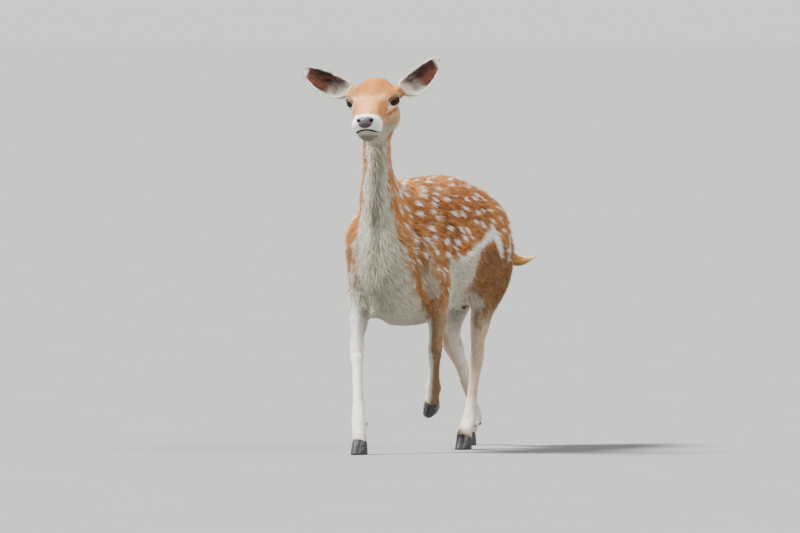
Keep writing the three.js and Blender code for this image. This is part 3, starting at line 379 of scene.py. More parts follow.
# %% Make the mesh finer round the eyes, nose and mouth
def near_features(mm):
    x, y, z = mirror(mm).T
    eye = np.hypot(np.hypot(x - EYE_AT[0], y - EYE_AT[1]), z - EYE_AT[2]) < 31
    nose = (y < -118) & (z > -16) & (z < 30) & (x < 42)
    lips = (y < MOUTH["corner"] + 4) & (np.abs(z - mouth_line(x)) < 6)
    return eye | nose | lips


select_only(skin)
bpy.ops.object.mode_set(mode="EDIT")
bpy.ops.mesh.select_mode(type="FACE")
bpy.ops.mesh.select_all(action="DESELECT")
bpy.ops.object.mode_set(mode="OBJECT")
fine = near_features(head_mm(points_of(skin.data)))
for polygon in skin.data.polygons:
    polygon.select = bool(fine[list(polygon.vertices)].all())
bpy.ops.object.mode_set(mode="EDIT")
bpy.ops.mesh.subdivide(number_cuts=1, smoothness=0.3)
bpy.ops.object.mode_set(mode="OBJECT")
apply_modifier(skin, "TRIANGULATE")
part = nearest_part(points_of(skin.data), PARTS)
print("with a finer face:", len(skin.data.polygons))

# %% Carve the folds
LID_RINGS = [  # height mm, place and width in shares of the eye's opening, where it fades in (mm up from the eye)
    (1.5, 1.12, 0.12, (-99, -98)), (-1.3, 1.42, 0.1, (-2, 6)), (0.9, 1.75, 0.2, (0, 8)),
    (1.0, 1.45, 0.16, (0, -8)), (-1.0, 1.85, 0.14, (-2, -9)),
]


def folds(mm):
    """How far the hide is raised (or sunk, below zero) at each point of the head, in millimetres."""
    x, y, z = mirror(mm).T
    inward, up, out = in_gaze(mm)
    opening = np.hypot(inward / 16.5, np.where(up > 0, up / 12.5, up / 11))
    rise = 0
    for height, place, width, fade in LID_RINGS:
        rise += height * bump_at(opening, place, width) * smooth(0, 6, out) * smooth(*fade, up)
    tear, t = line_distance(mirror(mm), *TEAR_LINE)
    rise -= 2.4 * bump_at(tear, 0, 2.6) * (1 - 0.5 * t)
    rise -= 2.6 * bump_at(line_distance(mirror(mm), *CREASE)[0], 0, 3.4)
    # the hollow of the cheek, the edge of the cheekbone, and the brow
    rise -= 2.2 * bump_at(y, -66, 22) * bump_at(z, 2, 15) * smooth(18, 32, x)
    rise -= 1.6 * bump_at(z, 16, 7) * smooth(-40, -54, y) * smooth(-96, -80, y) * smooth(20, 30, x)
    rise += 1.4 * bump_at(z, 25, 6) * bump_at(x, 34, 14) * smooth(-44, -30, y) * smooth(14, 0, y)
    # the line of the lips with a soft edge over and under it, and the sides of the chin
    lips = smooth(MOUTH["corner"] + 2, MOUTH["corner"] - 6, y)
    off = z - mouth_line(x)
    for height, place, width in ((-4.6, -1.0, 2.4), (1.3, 4.5, 3.2), (0.6, -6.5, 2.6)):
        rise += height * bump_at(off, place, width) * lips
    rise -= 2.6 * smooth(-4, -9, off) * smooth(8, 20, x) * smooth(-86, -104, y)
    # the groove from nose to mouth, and its end on the nose pad
    rise -= 1.6 * bump_at(x, 0, 1.6) * ((y < -120) & (z > -20) & (z < -2))
    rise -= 0.8 * bump_at(x, 0, 1.3) * smooth(-2, 2, z) * smooth(16, 10, z) * (y < -135)
    return rise


on_head = np.isin(part, [PARTS.index(n) for n in ("head", "lower_jaw", "nose_pad")])
rise = folds(head_mm(points_of(skin.data))) * on_head
raise_points(skin.data, rise)
select_only(skin)
bpy.ops.object.shade_smooth()
print("folds from", round(rise.min(), 1), "to", round(rise.max(), 1), "mm")

# %% [markdown]
# ## Which way the hair lies
# Hair has a direction at every point: back from the nose, down the neck, back along the trunk and down the legs.
# It could be combed by hand, but a comb leaves nothing to read. So each body part is given one direction and one
# set of hair sizes. Both are spread over the skin by blending neighbours, and the direction is kept flat to it.

# %% Hair sizes and directions for each part, blended over the skin
EARS = {
    "ear_left": {"root": (50, 50, -6), "towards": (0.72, 0.58, 0.36), "opening": (0.15, -0.95, 0.3)},
    "ear_right": {"root": (-50, 50, 1), "towards": (-0.88, 0.05, 0.485), "opening": (0, -0.92, 0.36)},
}
LIE = {
    "torso": Vector((0, 1, -0.5)), "udder": Vector((0, 1, -0.2)), "neck": Vector((0, 0.42, -0.9)),
    "head": head_direction(0, 1, 0.25), "lower_jaw": head_direction(0, 1, -0.2),
    "nose_pad": head_direction(0, 1, 0.5), **{name: head_direction(*EARS[name]["towards"]) for name in EARS},
    "tail": Vector((0.1, 0.5, -0.85)), "hind_left_upper_leg": Vector((0, 0.75, -0.75)),
    "hind_right_upper_leg": Vector((0, 0.75, -0.75)), "leg": Vector((0, 0.15, -1)),
}
HAIR = {  # length mm, width mm, rise
    "torso": (25, 2.1, 0.22), "udder": (9, 2.2, 0.2), "neck": (21, 2.1, 0.27), "head": (8, 1.5, 0.16),
    "lower_jaw": (9, 1.5, 0.2), "nose_pad": (1, 1, 0.1), "ear": (7, 1.5, 0.12), "tail": (26, 2.4, 0.2),
    "upper_leg": (17, 2.5, 0.18), "lower_leg": (8, 1.7, 0.14),
}
LEG_HAIR = (8.5, 1.7)  # the longest and widest below the trunk, mm


def flat_to_skin(direction, normal):
    return unit(direction - (direction * normal).sum(1, keepdims=True) * normal)


hair = soften(per_part(HAIR)[part], skin.data, 14)
for column, limit in enumerate(LEG_HAIR):
    hair[:, column] -= np.maximum(hair[:, column] - limit, 0) * short_haired(points_of(skin.data))
skin_normal = normals_of(skin.data)
lie = unit(per_part(LIE)[part])
for _ in range(6):
    lie = soften(flat_to_skin(lie, skin_normal), skin.data, 5)
lie = flat_to_skin(lie, skin_normal)
member = soften(np.eye(len(PARTS))[part], skin.data, 6)
print("hair from", hair[:, 0].min().round(1), "to", hair[:, 0].max().round(1), "mm")

# %% [markdown]
# ## The colours of the coat
# A common fallow deer between coats is rufous above with rows of white spots, grey-white below, with a pale
# throat and a warm, tan face. A texture would have to be painted and fitted. Here one function gives the colour at
# any place from named zones and seeded noise, in the animal's own millimetres. Skin and hair both ask it, so the
# markings go through the coat to the hide.

# %% Colour helpers and soft noise
def linear(text):
    """An sRGB hex colour as linear red, green and blue."""
    value = np.array([int(text[i:i + 2], 16) / 255 for i in (1, 3, 5)])
    return np.where(value <= 0.04045, value / 12.92, ((value + 0.055) / 1.055) ** 2.4)


def layered(base, *layers):
    """A base colour with others laid over it in turn, each by its share at every point."""
    colour = np.tile(linear(base), (len(layers[0][1]), 1))
    for over, share in layers:
        share = np.clip(share, 0, 1)[:, None]
        colour = colour * (1 - share) + linear(over) * share
    return colour


LATTICE = random.random((32, 32, 32))


def noise(mm, size):
    """Smooth seeded noise from 0 to 1 with blobs of about this size in millimetres."""
    place = mm / size + 100.0
    cell = np.floor(place).astype(int)
    t = smooth(0, 1, place - cell)
    total = 0
    for corner in np.ndindex(2, 2, 2):
        share = np.prod(np.where(np.array(corner), t, 1 - t), axis=1)
        x, y, z = ((cell + np.array(corner)) % 32).T
        total = total + share * LATTICE[x, y, z]
    return total


# %% [markdown]
# ## White spots
# Her spots stand in rough rows along the back and flanks, each a few centimetres long and slanted with the hair.
# A Voronoi texture would scatter them evenly, which no deer shows, so every spot has its own place and slant, on
# a map of the barrel as if it were rolled flat. The right side repeats the left one, and each spot strays a bit.

# %% White spots on the back and flanks
SPOTS = [  # place along the body and up round the barrel, half length, half width (mm), slant
    (182, 239, 11, 3.7, 0.5), (251, 215, 11, 6.2, 0.3), (107, 211, 11, 6.2, -0.1), (217, 183, 11, 6.2, 0),
    (346, 192, 11, 6.2, 0.6), (307, 177, 11, 6.2, 0), (-94, 193, 11, 6.2, 0.4), (35, 191, 11, 6, 0),
    (121, 176, 11, 6.2, -0.1), (9, 169, 13, 4.2, 0), (87, 163, 13, 5.4, -0.1), (296, 133, 13, 6.2, -0.3),
    (-4, 156, 13, 6.2, -0.5), (330, 147, 11, 6.2, 0.1), (-48, 181, 10, 2.8, 0), (366, 139, 13, 6.2, -0.9),
    (127, 138, 13, 6.2, 0), (184, 144, 13, 2.8, -0.1), (238, 130, 13, 6.2, -0.6), (64, 144, 13, 6.2, -0.3),
    (-29, 144, 13, 6.2, -0.7), (41, 130, 13, 6.2, -0.3), (-122, 161, 7, 3.7, -0.7), (-85, 150, 13, 6.2, -0.2),
    (207, 106, 13, 6.2, -0.3), (-137, 128, 13, 3.4, -1.5), (461, 125, 13, 5.2, 0.4), (-115, 145, 13, 3.7, -0.9),
    (137, 95, 13, 6.2, -0.4), (275, 92, 13, 6.2, 0.1), (18, 108, 13, 6.2, 0), (316, 97, 9, 4.5, 0.2),
    (370, 100, 13, 3.2, 0), (-43, 114, 13, 6.2, -1), (181, 90, 11, 6.2, -0.7), (451, 84, 13, 6.2, -0.1),
    (-77, 121, 8, 3.5, -0.6), (38, 91, 13, 4.2, -0.1), (-109, 98, 13, 4.1, -1.3), (370, 72, 13, 5.3, -0.2),
    (247, 68, 11, 5.5, -0.2), (97, 60, 13, 6.2, 0), (289, 60, 13, 6, -0.6), (-24, 61, 13, 6.2, -0.2),
    (152, 52, 11, 6.2, -0.6), (187, 48, 12, 6.2, -0.5), (456, 53, 13, 4.9, -0.1), (-84, 43, 13, 3.7, -1.3),
    (404, 42, 13, 2.8, -0.1), (164, 32, 13, 4.8, -0.4), (527, 33, 13, 6.2, 0.1), (-19, 36, 10, 6.2, 0.2),
    (202, 32, 9, 3.5, -0.3), (-49, 30, 9, 3.6, -1.3), (70, 27, 13, 6.2, 0.5), (125, 23, 13, 6.2, -0.2),
    (111, 9, 9, 2.8, -0.3), (477, -3, 13, 6.2, 0), (-16, 3, 13, 6.2, -0.1), (67, -8, 13, 6.2, 0.1),
    (-72, -26, 11, 2.9, -1.1), (126, -7, 9, 2.8, -0.4), (99, -35, 11, 3.4, 0.3), (-8, -37, 11, 3, -0.9),
    (34, -40, 11, 3.4, -0.1), (20, -50, 10, 3.4, -0.6), (-42, -75, 9, 1.7, -0.9), (63, -59, 11, 2.1, 0),
    (7, -65, 5, 2.2, -1.4), (5, -78, 11, 2.1, -0.8), (103, -76, 9, 2.5, -0.6), (-3, -108, 7, 1.9, -0.7),
    (55, -82, 11, 2.5, -0.3), (20, -99, 8, 2.3, -1.1), (505, 128, 12, 5, -0.4), (545, 76, 11, 5.5, -0.5),
    (556, 48, 10, 5, -0.6), (560, 24, 9, 5, -0.5), (420, 196, 12, 5, -0.2), (470, 176, 12, 5, -0.3),
    (150, 236, 9, 4, 0.2), (60, 232, 9, 4, 0.1), (320, 222, 10, 5, 0.1), (400, 228, 9, 4, 0.2),
    (-112, 208, 13, 4, -0.7), (-92, 222, 12, 4, -0.6), (-128, 190, 11, 3.5, -0.8),
    (-100, 184, 10, 5, 0.3), (-72, 200, 13, 5, 0.6), (-50, 211, 13, 4.5, 0.7), (-30, 225, 13, 4.5, 0.6),
    (-6, 237, 13, 4.5, 0.5), (20, 248, 13, 4.5, 0.4), (-62, 188, 10, 4.5, 0.3),
]
STRAY = 9  # mm
spots = []
for side in (1, -1):
    for y0, g0, half, wide, slant in SPOTS:
        dy, dg = (0, 0) if side == 1 else random.normal(0, STRAY, 2)
        spots.append((side, y0 + dy, g0 + dg, half, wide, slant))


def spotted(side, y, g):
    cover = np.zeros(len(y))
    for spot_side, y0, g0, half, wide, slant in spots:
        dy, dg = y - y0, g - g0
        near = (np.abs(dy) < 30) & (np.abs(dg) < 30) & (side == spot_side)
        a = dy[near] * math.cos(slant) + dg[near] * math.sin(slant)
        b = dg[near] * math.cos(slant) - dy[near] * math.sin(slant)
        cover[near] = np.maximum(cover[near], smooth(1.3, 0.7, np.hypot(a / half, b / wide)))
    return cover


def round_barrel(mm):
    """How far up round the barrel points lie, in mm along its curve from half its height."""
    return np.arctan2((mm[:, 2] - 545) / 205, np.abs(mm[:, 0]) / 128) * 165


print("spots:", len(spots))

# %% [markdown]
# ## Trunk and neck
# The brown of the back is a mix of sandy and dark tufts, darkest along the spine. Below it the belly is pale, a
# white line climbs over the haunch, and a pale band runs down the throat into the chest. Each is a zone with a
# soft, ragged edge, which layers of a paint program would also give, but here every edge has its measure.

# %% Colours of the trunk
WHITE_LINE = [  # start and end (mm along the body, mm up), half width at each
    ((140, 520), (250, 556), (6, 11)), ((250, 556), (355, 597), (11, 15)), ((355, 597), (398, 560), (17, 17)),
    ((398, 560), (412, 524), (17, 6)), ((528, 578), (490, 518), (10, 7)),
]
BELLY_TOP = [50, 58, 84, 160, 260], [380, 496, 524, 534, 545]  # mm along the body, mm up
BELLY_REAR = [330, 415, 456, 551], [230, 200, 226, 256]  # mm up, mm along the body
CHEST_LEFT = [340, 384, 416, 457, 526, 593, 634, 689, 720], [60, 15, -29, -69, -119, -140, -144, -157, -220]
CHEST_RIGHT = [340, 400, 457, 526, 593, 634, 689, 720], [60, -40, -100, -143, -149, -148, -175, -220]


def white_line(y, z, edge):
    """The white line climbs from the belly over the haunch and comes down behind it."""
    for start, end, wide in WHITE_LINE:
        off, t = line_distance(np.c_[y, z], start, end)
        reach = wide[0] + (wide[1] - wide[0]) * t
        yield "#efe8da", smooth(1.25, 0.75, (off + edge * 0.16) / reach) * 0.95


def trunk_colours(mm, normal, grain):
    x, y, z = mm.T
    side = np.where(x > 0, 1, -1)
    around = round_barrel(mm)
    edge = (grain - 0.5) * 60
    fine = noise(np.c_[y * 0.35 + z * 0.2, z - y * 0.55, x], 5)
    shoulder = smooth(60, 0, y) * smooth(620, 520, z)
    streaks = smooth(0.66, 0.8, noise(np.c_[y * 1.7 + z * 0.75, y * 0.2 - z * 0.2, side * 9], 8))
    streaks = streaks * smooth(-175, -130, y) * smooth(10, -60, y) * smooth(660, 600, z) * 0.8
    belly = smooth(14, -14, z - np.interp(y, *BELLY_TOP) + edge * 0.5)
    belly = belly * smooth(16, -10, y - np.interp(z, *BELLY_REAR) + edge * 0.3)
    chest_edge = np.where(x > 0, np.interp(z, *CHEST_LEFT), np.interp(z, *CHEST_RIGHT))
    chest = smooth(9, -12, y - chest_edge + edge * 0.3)
    return layered(
        "#9c5722",
        ("#bd7c3c", smooth(0.45, 0.8, noise(mm, 55)) * 0.6),  # sandy and dark patches
        ("#70401c", smooth(0.5, 0.85, noise(mm + 500, 38)) * 0.6),
        ("#43240f", smooth(0.5, 0.8, fine) * 0.6),  # dark and light tufts
        ("#dca86b", smooth(0.45, 0.15, fine) * 0.5),
        ("#643a1f", smooth(226, 252, around + edge * 0.3) * 0.7),  # the line of the back
        # painted shade: the haunch's brown is darkened
        ("#644321", smooth(215, 300, y) * smooth(575, 535, z) * 0.85),  # the haunch
        ("#8a5f38", shoulder * 0.7),
        ("#b88a60", smooth(0.4, 0.8, noise(mm + 90, 16)) * shoulder * 0.6),
        ("#f6efe2", spotted(side, y + edge * 0.03, around + edge * 0.04)),
        ("#e6dccb", streaks),  # thin pale streaks in the shoulder
        # the pale belly, greyed as painted shade
        ("#b4b09e", belly * smooth(44, 62, y + edge * 0.3)),
        *white_line(y, z, edge),
        # the pale underside and the insides of the legs, greyed as painted shade
        ("#b9b3a4", smooth(-0.3, -0.75, normal[:, 2]) * smooth(560, 480, z)),  # underneath
        ("#b9b1a2", smooth(-0.1, -0.6, normal[:, 0] * side) * smooth(520, 430, z)),  # between the legs
        ("#e8e0d2", smooth(556, 590, y) * smooth(62, 40, np.abs(x) + edge * 0.3) * smooth(690, 650, z)),  # rump
        # the pale chest greyed as painted shade, and its grey middle: darker hair deepened as painted shade
        ("#aba794", chest),
        ("#7f7a66", chest * smooth(30, 6, np.abs(x) + edge * 0.3) * smooth(440, 560, z) * 0.6),  # its grey middle
    )


# %% Colours of the neck
THROAT = [560, 593, 634, 689, 743, 783, 824, 870, 900]  # heights, then where the pale band starts and ends
THROAT_FROM, THROAT_TO = [-56, -53, -48, -22, -12, -6, -3, -4, -20], [62, 56, 49, 43, 38, 37, 37, 42, 55]


def neck_colours(mm, normal, grain):
    x, y, z = mm.T
    edge = (grain - 0.5) * 16
    withers = spotted(np.where(x > 0, 1, -1), y + edge * 0.1, round_barrel(mm) + edge * 0.15)
    from_x, to_x = np.interp(z, THROAT, THROAT_FROM), np.interp(z, THROAT, THROAT_TO)
    front = smooth(0.25, -0.15, normal[:, 1] + 1.2 * np.maximum(normal[:, 2], 0))
    band = smooth(-4, 3, x - from_x + edge) * smooth(-4, 3, to_x - x + edge) * front
    centre = (from_x + to_x) / 2 + 6
    return layered(
        "#b06f33",
        ("#86502a", smooth(0.2, 0.7, normal[:, 1]) * 0.7),  # the nape
        ("#c98f55", smooth(0.45, 0.8, noise(mm, 30)) * 0.6),
        ("#f6efe2", withers * smooth(-140, -110, y)),
        ("#bab6a4", band),
        # the band's grey middle: darker hair, deepened as painted shade
        ("#7f7a66", smooth(17, 5, np.abs(x - centre) + edge * 0.5) * band * 0.75),
        ("#ddd7c9", smooth(12, 24, centre - x + edge * 0.5) * band * 0.7),
    )


# %% [markdown]
# ## Face, nose and ears
# A doe's face is tan, redder on the crown, with pale rings round the eyes, a white muzzle and a dark line at the
# lips. Her ears are bare-looking and red-brown inside, with a white rim. Texture painting could do it, but zones
# in the head's own millimetres follow the folds exactly, and both sides come from one description.

# %% Colours of the face and nose
EYE_HALF = (16.5, 12)  # half width and half height of the eye's opening with its lids, mm


def head_colours(mm, normal, grain):
    x, y, z = mirror(mm).T
    edge = (grain - 0.5) * 10
    inward, up, out = in_gaze(mm)
    eye = np.hypot(inward / EYE_HALF[0], up / EYE_HALF[1])
    brow = bump_at(z + edge * 0.25, 27 - 0.002 * x * x, 4.5) * smooth(-52, -36, y) * smooth(12, -10, y)
    crease, tear = (line_distance(mirror(mm), *line)[0] for line in (CREASE, TEAR_LINE))
    blotch = smooth(0.42, 0.66, noise(np.c_[x * 1.3, y * 0.7, z * 1.7], 9))
    wrinkle_shade = smooth(0.6, 0.75, noise(np.c_[x * 0.5, y * 0.55 + z * 0.5, z * 1.8], 5))
    cheek = smooth(8, -8, z + edge) * smooth(22, 32, x) * smooth(-106, -92, y)
    around_eye = smooth(2.1, 1.6, eye + edge * 0.03) * smooth(-4, 8, out)
    below = z - mouth_line(x)
    lips = smooth(MOUTH["corner"] + 2, MOUTH["corner"] - 4, y)
    return layered(
        "#bf7d43",
        ("#d9975c", smooth(10, 24, z + edge) * smooth(-16, -50, y) * 0.7),  # forehead and crown
        ("#a86629", smooth(25, 35, z + edge) * smooth(-46, -18, y + edge * 0.6)),
        ("#c07d3f", bump_at(x, 0, 13) * smooth(30, 40, z) * smooth(-40, -10, y) * 0.6),
        ("#8d5a34", smooth(50, 90, y) * 0.8),
        ("#e6b585", brow * 0.75),
        # painted shade in the carved crease from the ear's root to the brow
        ("#6b4122", smooth(5, 1.5, crease + edge * 0.3) * 0.8),
        ("#e0a876", smooth(16, 5, x + edge * 0.3) * smooth(-50, -75, y) * smooth(0, 12, z) * 0.6),  # bridge
        ("#7a4f2a", cheek * blotch * 0.5),
        ("#d4b085", cheek * (1 - blotch) * 0.4),
        # painted shade in the cheek's wrinkles
        ("#55371f", cheek * wrinkle_shade * 0.6),
        # the jaw's tan lower side, greyed as painted shade
        ("#ae9670", smooth(-30, -46, z + edge) * 0.8),  # under the jaw
        ("#c3bba8", smooth(-56, -72, z + edge)),
        ("#e8dcc6", around_eye * smooth(0, -7, up) * smooth(-16, -4, inward)),  # pale below and above the eye
        ("#dcbf98", around_eye * smooth(-3, 3, up) * 0.5),
        # painted shade: the brow's shade on the upper lid, and a dark line in its carved fold
        ("#7b5331", smooth(1.9, 1.3, eye) * smooth(0, 6, out) * smooth(0, 8, up) * 0.8),  # the upper lid's fold
        ("#3b2a20", bump_at(eye, 1.32, 0.1) * smooth(2, 8, up) * smooth(0, 6, out) * 0.7),
        ("#f3efe7", smooth(-106, -116, y + edge * 0.6 + np.maximum(z - 8, 0) * 0.75)),  # white muzzle
        ("#3d281c", smooth(4.2, 1.8, tear + edge * 0.2) * 0.9),
        ("#c6bba9", smooth(0, -6, below) * smooth(-80, -92, y)),  # lower lip and chin
        # painted shadow under the chin
        ("#6f6a5c", smooth(-12, -22, below) * smooth(-70, -90, y) * 0.8),
        # the dark line of the lips, widened as painted shadow under the upper lip
        ("#241514", smooth(4.2, 2.2, np.abs(below + 1.3)) * lips),
    )


def nose_colours(mm):
    x, y, z = mirror(mm).T
    nostril = np.hypot((x - 18.5) / 7.0, (z - 9.5) / 5.0)
    # the nostrils are painted near-black as the shade inside them
    return layered("#5b5157", ("#3a3237", smooth(10, -6, z) * 0.7), ("#0e0a0b", smooth(1.2, 0.8, nostril)))


# %% Places on an ear
EAR_ROOT = 20  # mm from the middle of the ear's base to where it opens


def ear_frame(name):
    """An ear's root, and its own axes: across, out of the opening, and along to the tip."""
    towards = Vector(EARS[name]["towards"]).normalized()
    opening = Vector(EARS[name]["opening"])
    front = (opening - towards * opening.dot(towards)).normalized()
    return np.array(EARS[name]["root"], float), np.array([towards.cross(front), front, towards])


def ear_half(name, way):
    """How far an ear reaches to one side of its middle at places along it, from the skin's own points."""
    root, axes = ear_frame(name)
    at = head_mm(points_of(skin.data)[part == PARTS.index(name)])
    across, _, along = ((at - root) @ axes.T).T
    places = np.arange(20, 170, 5)
    near = [across[np.abs(along - p) < 5] * way for p in places]
    return places, np.array([max(3, np.max(a)) if len(a) > 3 else 3 for a in near])


EAR_HALF = {(name, way): ear_half(name, way) for name in EARS for way in (1, -1)}


def ear_places(mm, normal, name):
    """Along an ear, up across it, how near the rim (one) a point lies, and how far it faces the opening."""
    root, axes = ear_frame(name)
    across, _, along = ((mm - root) @ axes.T).T
    one_side, other_side = (np.interp(along, *EAR_HALF[name, way]) for way in (1, -1))
    wide = np.where(across > 0, across / one_side, -across / other_side)
    return along - EAR_ROOT, across * np.sign(axes[0, 2]), wide, normal @ HEAD_AXES @ axes[1]


# %% Colours of the ears
def ear_colours(mm, normal, grain, name):
    along, upper, wide, facing = ear_places(mm, normal, name)
    edge = (grain - 0.5) * 14
    dark = smooth(22, 48, along + edge + upper * 0.5) * smooth(0.95, 0.8, wide)
    dark = dark * smooth(132, 120, along + edge * 0.3)
    red = smooth(0.35, 0.9, noise(mm * np.array([1, 1, 2.0]), 13))
    rim = smooth(0.84, 0.93, wide + 0.12 * smooth(70, 125, along))
    rim = np.maximum(rim, smooth(0.5, 0.25, np.abs(facing)) * smooth(0.5, 0.65, wide))
    rim = np.maximum(rim, smooth(126, 134, along))
    outer = layered("#b98a5c", ("#8a6443", smooth(0.4, 0.8, noise(mm, 24)) * 0.5))
    inner = layered(
        "#d9cebb",
        ("#643625", dark),
        # painted shade inside the ear's cup: darker on its upper half and near its edges
        ("#29150d", dark * smooth(-18, 6, upper + edge) * 0.9),
        ("#2b1710", dark * smooth(0.58, 0.78, wide) * 0.85),
        ("#864a34", dark * 0.5 * red * 0.7),
    )
    inside = smooth(0.0, 0.35, facing)[:, None]
    white = (np.clip(rim * smooth(10, 30, along), 0, 1))[:, None]
    return (outer * (1 - inside) + inner * inside) * (1 - white) + linear("#f7f1e6") * white


# %% [markdown]
# ## Legs, tail, and all the zones together
# Her left foreleg is brown in front and the right one nearly white. The hind legs fade from brown thighs to pale
# feet, and the tail is golden with a dark upper side. Where two parts of the body meet, a hard edge would show
# the seam between two solids, so every point mixes the colours of its neighbouring parts by their shares.

# %% Colours of the legs and tail
def leg_colours(mm, normal, grain, name):
    x, y, z = mm.T
    left = "left" in name
    edge = (grain - 0.5) * 24
    outward, forward = normal[:, 0] * (1 if left else -1), -normal[:, 1]
    if name.startswith("fore"):
        front = smooth(-0.2, 0.5, forward * 0.6 + outward * 0.6)
        base, *layers = (
            # her left foreleg's brown is darkened further as painted shade from the body
            "#a58c6c" if left else "#f4efe7",
            ("#7b5936", front * (0.85 if left else 0)),
            ("#a88a68", smooth(0.0, 0.8, outward) * smooth(240, 400, z) * (0.6 if left else 0.15)),
            ("#e4ddd2", smooth(0, -0.6, outward) * 0.85),
        )
    else:
        base, *layers = (
            "#cdb49a",
            # the thigh's brown, darkened as painted shade
            ("#7c5b39", smooth(290, 420, z + edge) * smooth(-0.5, 0.2, outward) * 0.85),
            ("#8a6242", smooth(0.1, 0.7, -forward) * smooth(150, 260, z) * 0.6),
            ("#dcd3c6", smooth(-0.1, -0.6, outward) * 0.85),
            ("#e2dbd0", smooth(170, 110, z) * 0.6),
        )
    return layered(base, *layers, ("#a58a70", smooth(70, 50, z) * 0.5),
                   ("#8f745c", smooth(0.55, 0.8, noise(mm, 22)) * 0.3))


def tail_colours(mm, normal):
    x, y, z = mm.T
    return layered(
        "#c98432",
        ("#5d3a1d", smooth(0.3, 0.9, normal[:, 1]) * smooth(530, 600, z) * 0.85),  # dark upper side
        # painted shade under the tail
        ("#7d4f24", smooth(0.0, -0.8, normal[:, 2]) * smooth(560, 530, z) * 0.6),
        ("#e4dacb", smooth(-0.2, -0.7, normal[:, 1]) * smooth(520, 550, z) * 0.85),  # pale next to the rump
        ("#e9c88a", smooth(682, 704, y) * 0.6),  # the tip
    )


# %% The colour at any place
def part_colours(name, mm, head, normal, grain):
    """The colours of one body part, from places on the body and in the head, normals and grain."""
    if name in ("torso", "udder") or "upper_leg" in name:
        made = trunk_colours(mm, normal, grain)
        if "upper_leg" in name:
            high = 455 if "fore" in name else 420
            low = smooth(high, high - 110, mm[:, 2] + (grain - 0.5) * 60)[:, None]
            made = made * (1 - low) + leg_colours(mm, normal, grain, name) * low
        return made
    if name == "neck":
        return neck_colours(mm, normal, grain)
    if name in ("head", "lower_jaw"):
        return head_colours(head, normal, grain)
    if name == "nose_pad":
        return nose_colours(head)
    if "ear" in name:
        return ear_colours(head, normal, grain, name)
    if name == "tail":
        return tail_colours(mm, normal)
    return leg_colours(mm, normal, grain, name)


def markings(points, normal, share):
    """The colour of the coat at points, from the shares that they have of each body part."""
    mm, head, grain = body_mm(points), head_mm(points), noise(body_mm(points), 9)
    total = np.zeros((len(points), 3))
    for index, name in enumerate(PARTS):
        which = np.flatnonzero(share[:, index] > 0.01)
        if len(which):
            made = part_colours(name, mm[which], head[which], normal[which], grain[which])
            total[which] += made * share[which, index][:, None]
    return total / share.sum(1, keepdims=True)


def store_colour(mesh, colour):
    layer = mesh.color_attributes.new("coat_colour", "FLOAT_COLOR", "POINT")
    layer.data.foreach_set("color", np.c_[colour, np.ones(len(colour))].astype(np.float32).ravel())


SKIN_SHADE = 0.8  # the hide is a little darker than the hair over it
skin_colour = markings(points_of(skin.data), skin_normal, member)
nose_share = (part == PARTS.index("nose_pad")).astype(float)
bare_nose = nose_colours(head_mm(points_of(skin.data)))
skin_colour = skin_colour * (1 - nose_share[:, None]) + bare_nose * nose_share[:, None]
store_colour(skin.data, skin_colour * SKIN_SHADE)
print("mean skin colour:", skin_colour.mean(0).round(3))

# %% [markdown]
# ## Materials of hair and hide
# Hair is keratin: a dull, slightly sheeny fibre whose colour comes from the markings, with fine light and dark
# from strand to strand. Hide shows where hair is short. It has the same colours, a bump of short hair, and bare,
# wet, pebbled skin on the nose. A ready-made hair shader needs curves, so both start from the plain shader.

# %% Functions that start a material and add a node
def start_material(name, **values):
    material = bpy.data.materials.new(name)
    material.use_nodes = True
    shader = material.node_tree.nodes["Principled BSDF"]
    for key, value in values.items():
        shader.inputs[key.replace("_", " ")].default_value = value
    return material, material.node_tree, shader


def add(tree, kind, links=(), **settings):
    """Adds a shader node. Settings are its own properties, or values for its inputs; links go into its inputs."""
    node = tree.nodes.new("ShaderNode" + kind)
    for key, value in settings.items():
        name = key.replace("_", " ")
        socket = next((s for s in node.inputs if s.name.lower() == name.lower() and s.enabled), None)
        if hasattr(node, key):
            setattr(node, key, value)
        else:
            socket.default_value = value
    for target, source in links:
        tree.links.new(source, node.inputs[target])
    return node


def noise_in(tree, scale, detail):
    """Noise over the object's own places, with blobs of about 1 / scale metres."""
    place = add(tree, "TexCoord").outputs["Object"]
    return add(tree, "TexNoise", [("Vector", place)], Scale=scale, Detail=detail).outputs["Fac"]


def tinted(tree, source, *stops):
    """A ramp of sRGB colours, each at its place from 0 to 1."""
    ramp = add(tree, "ValToRGB", [("Fac", source)])
    elements = ramp.color_ramp.elements
    for position, text in stops:
        stop = elements.new(position) if 0 < position < 1 else elements[-position]
        stop.color = (*linear(text), 1)
    return ramp.outputs["Color"]


def marked_colour(tree, shader, fibre, dark, light):
    """The markings as base colour, made darker and lighter by a fine noise."""
    colour = add(tree, "Attribute", attribute_name="coat_colour")
    level = add(tree, "MapRange", [("Value", fibre)], From_Min=0.3, From_Max=0.7, To_Min=dark, To_Max=light)
    shade = add(tree, "VectorMath", [(0, colour.outputs["Color"]), (3, level.outputs["Result"])],
                operation="SCALE")
    tree.links.new(shade.outputs[0], shader.inputs["Base Color"])


# %% Hair: keratin fibre in the colours of the markings
# A hair's keratin has an IOR of 1.55. Strand to strand, deer hair varies by about a fifth in lightness.
hair_fibre, tree, shader = start_material("deer_hair_keratin", Roughness=0.68, IOR=1.55, Sheen_Weight=0.05,
                                          Sheen_Roughness=0.5, Specular_IOR_Level=0.15)
marked_colour(tree, shader, noise_in(tree, 420.0, 2.0), 0.84, 1.14)  # strands of about 2.4 mm

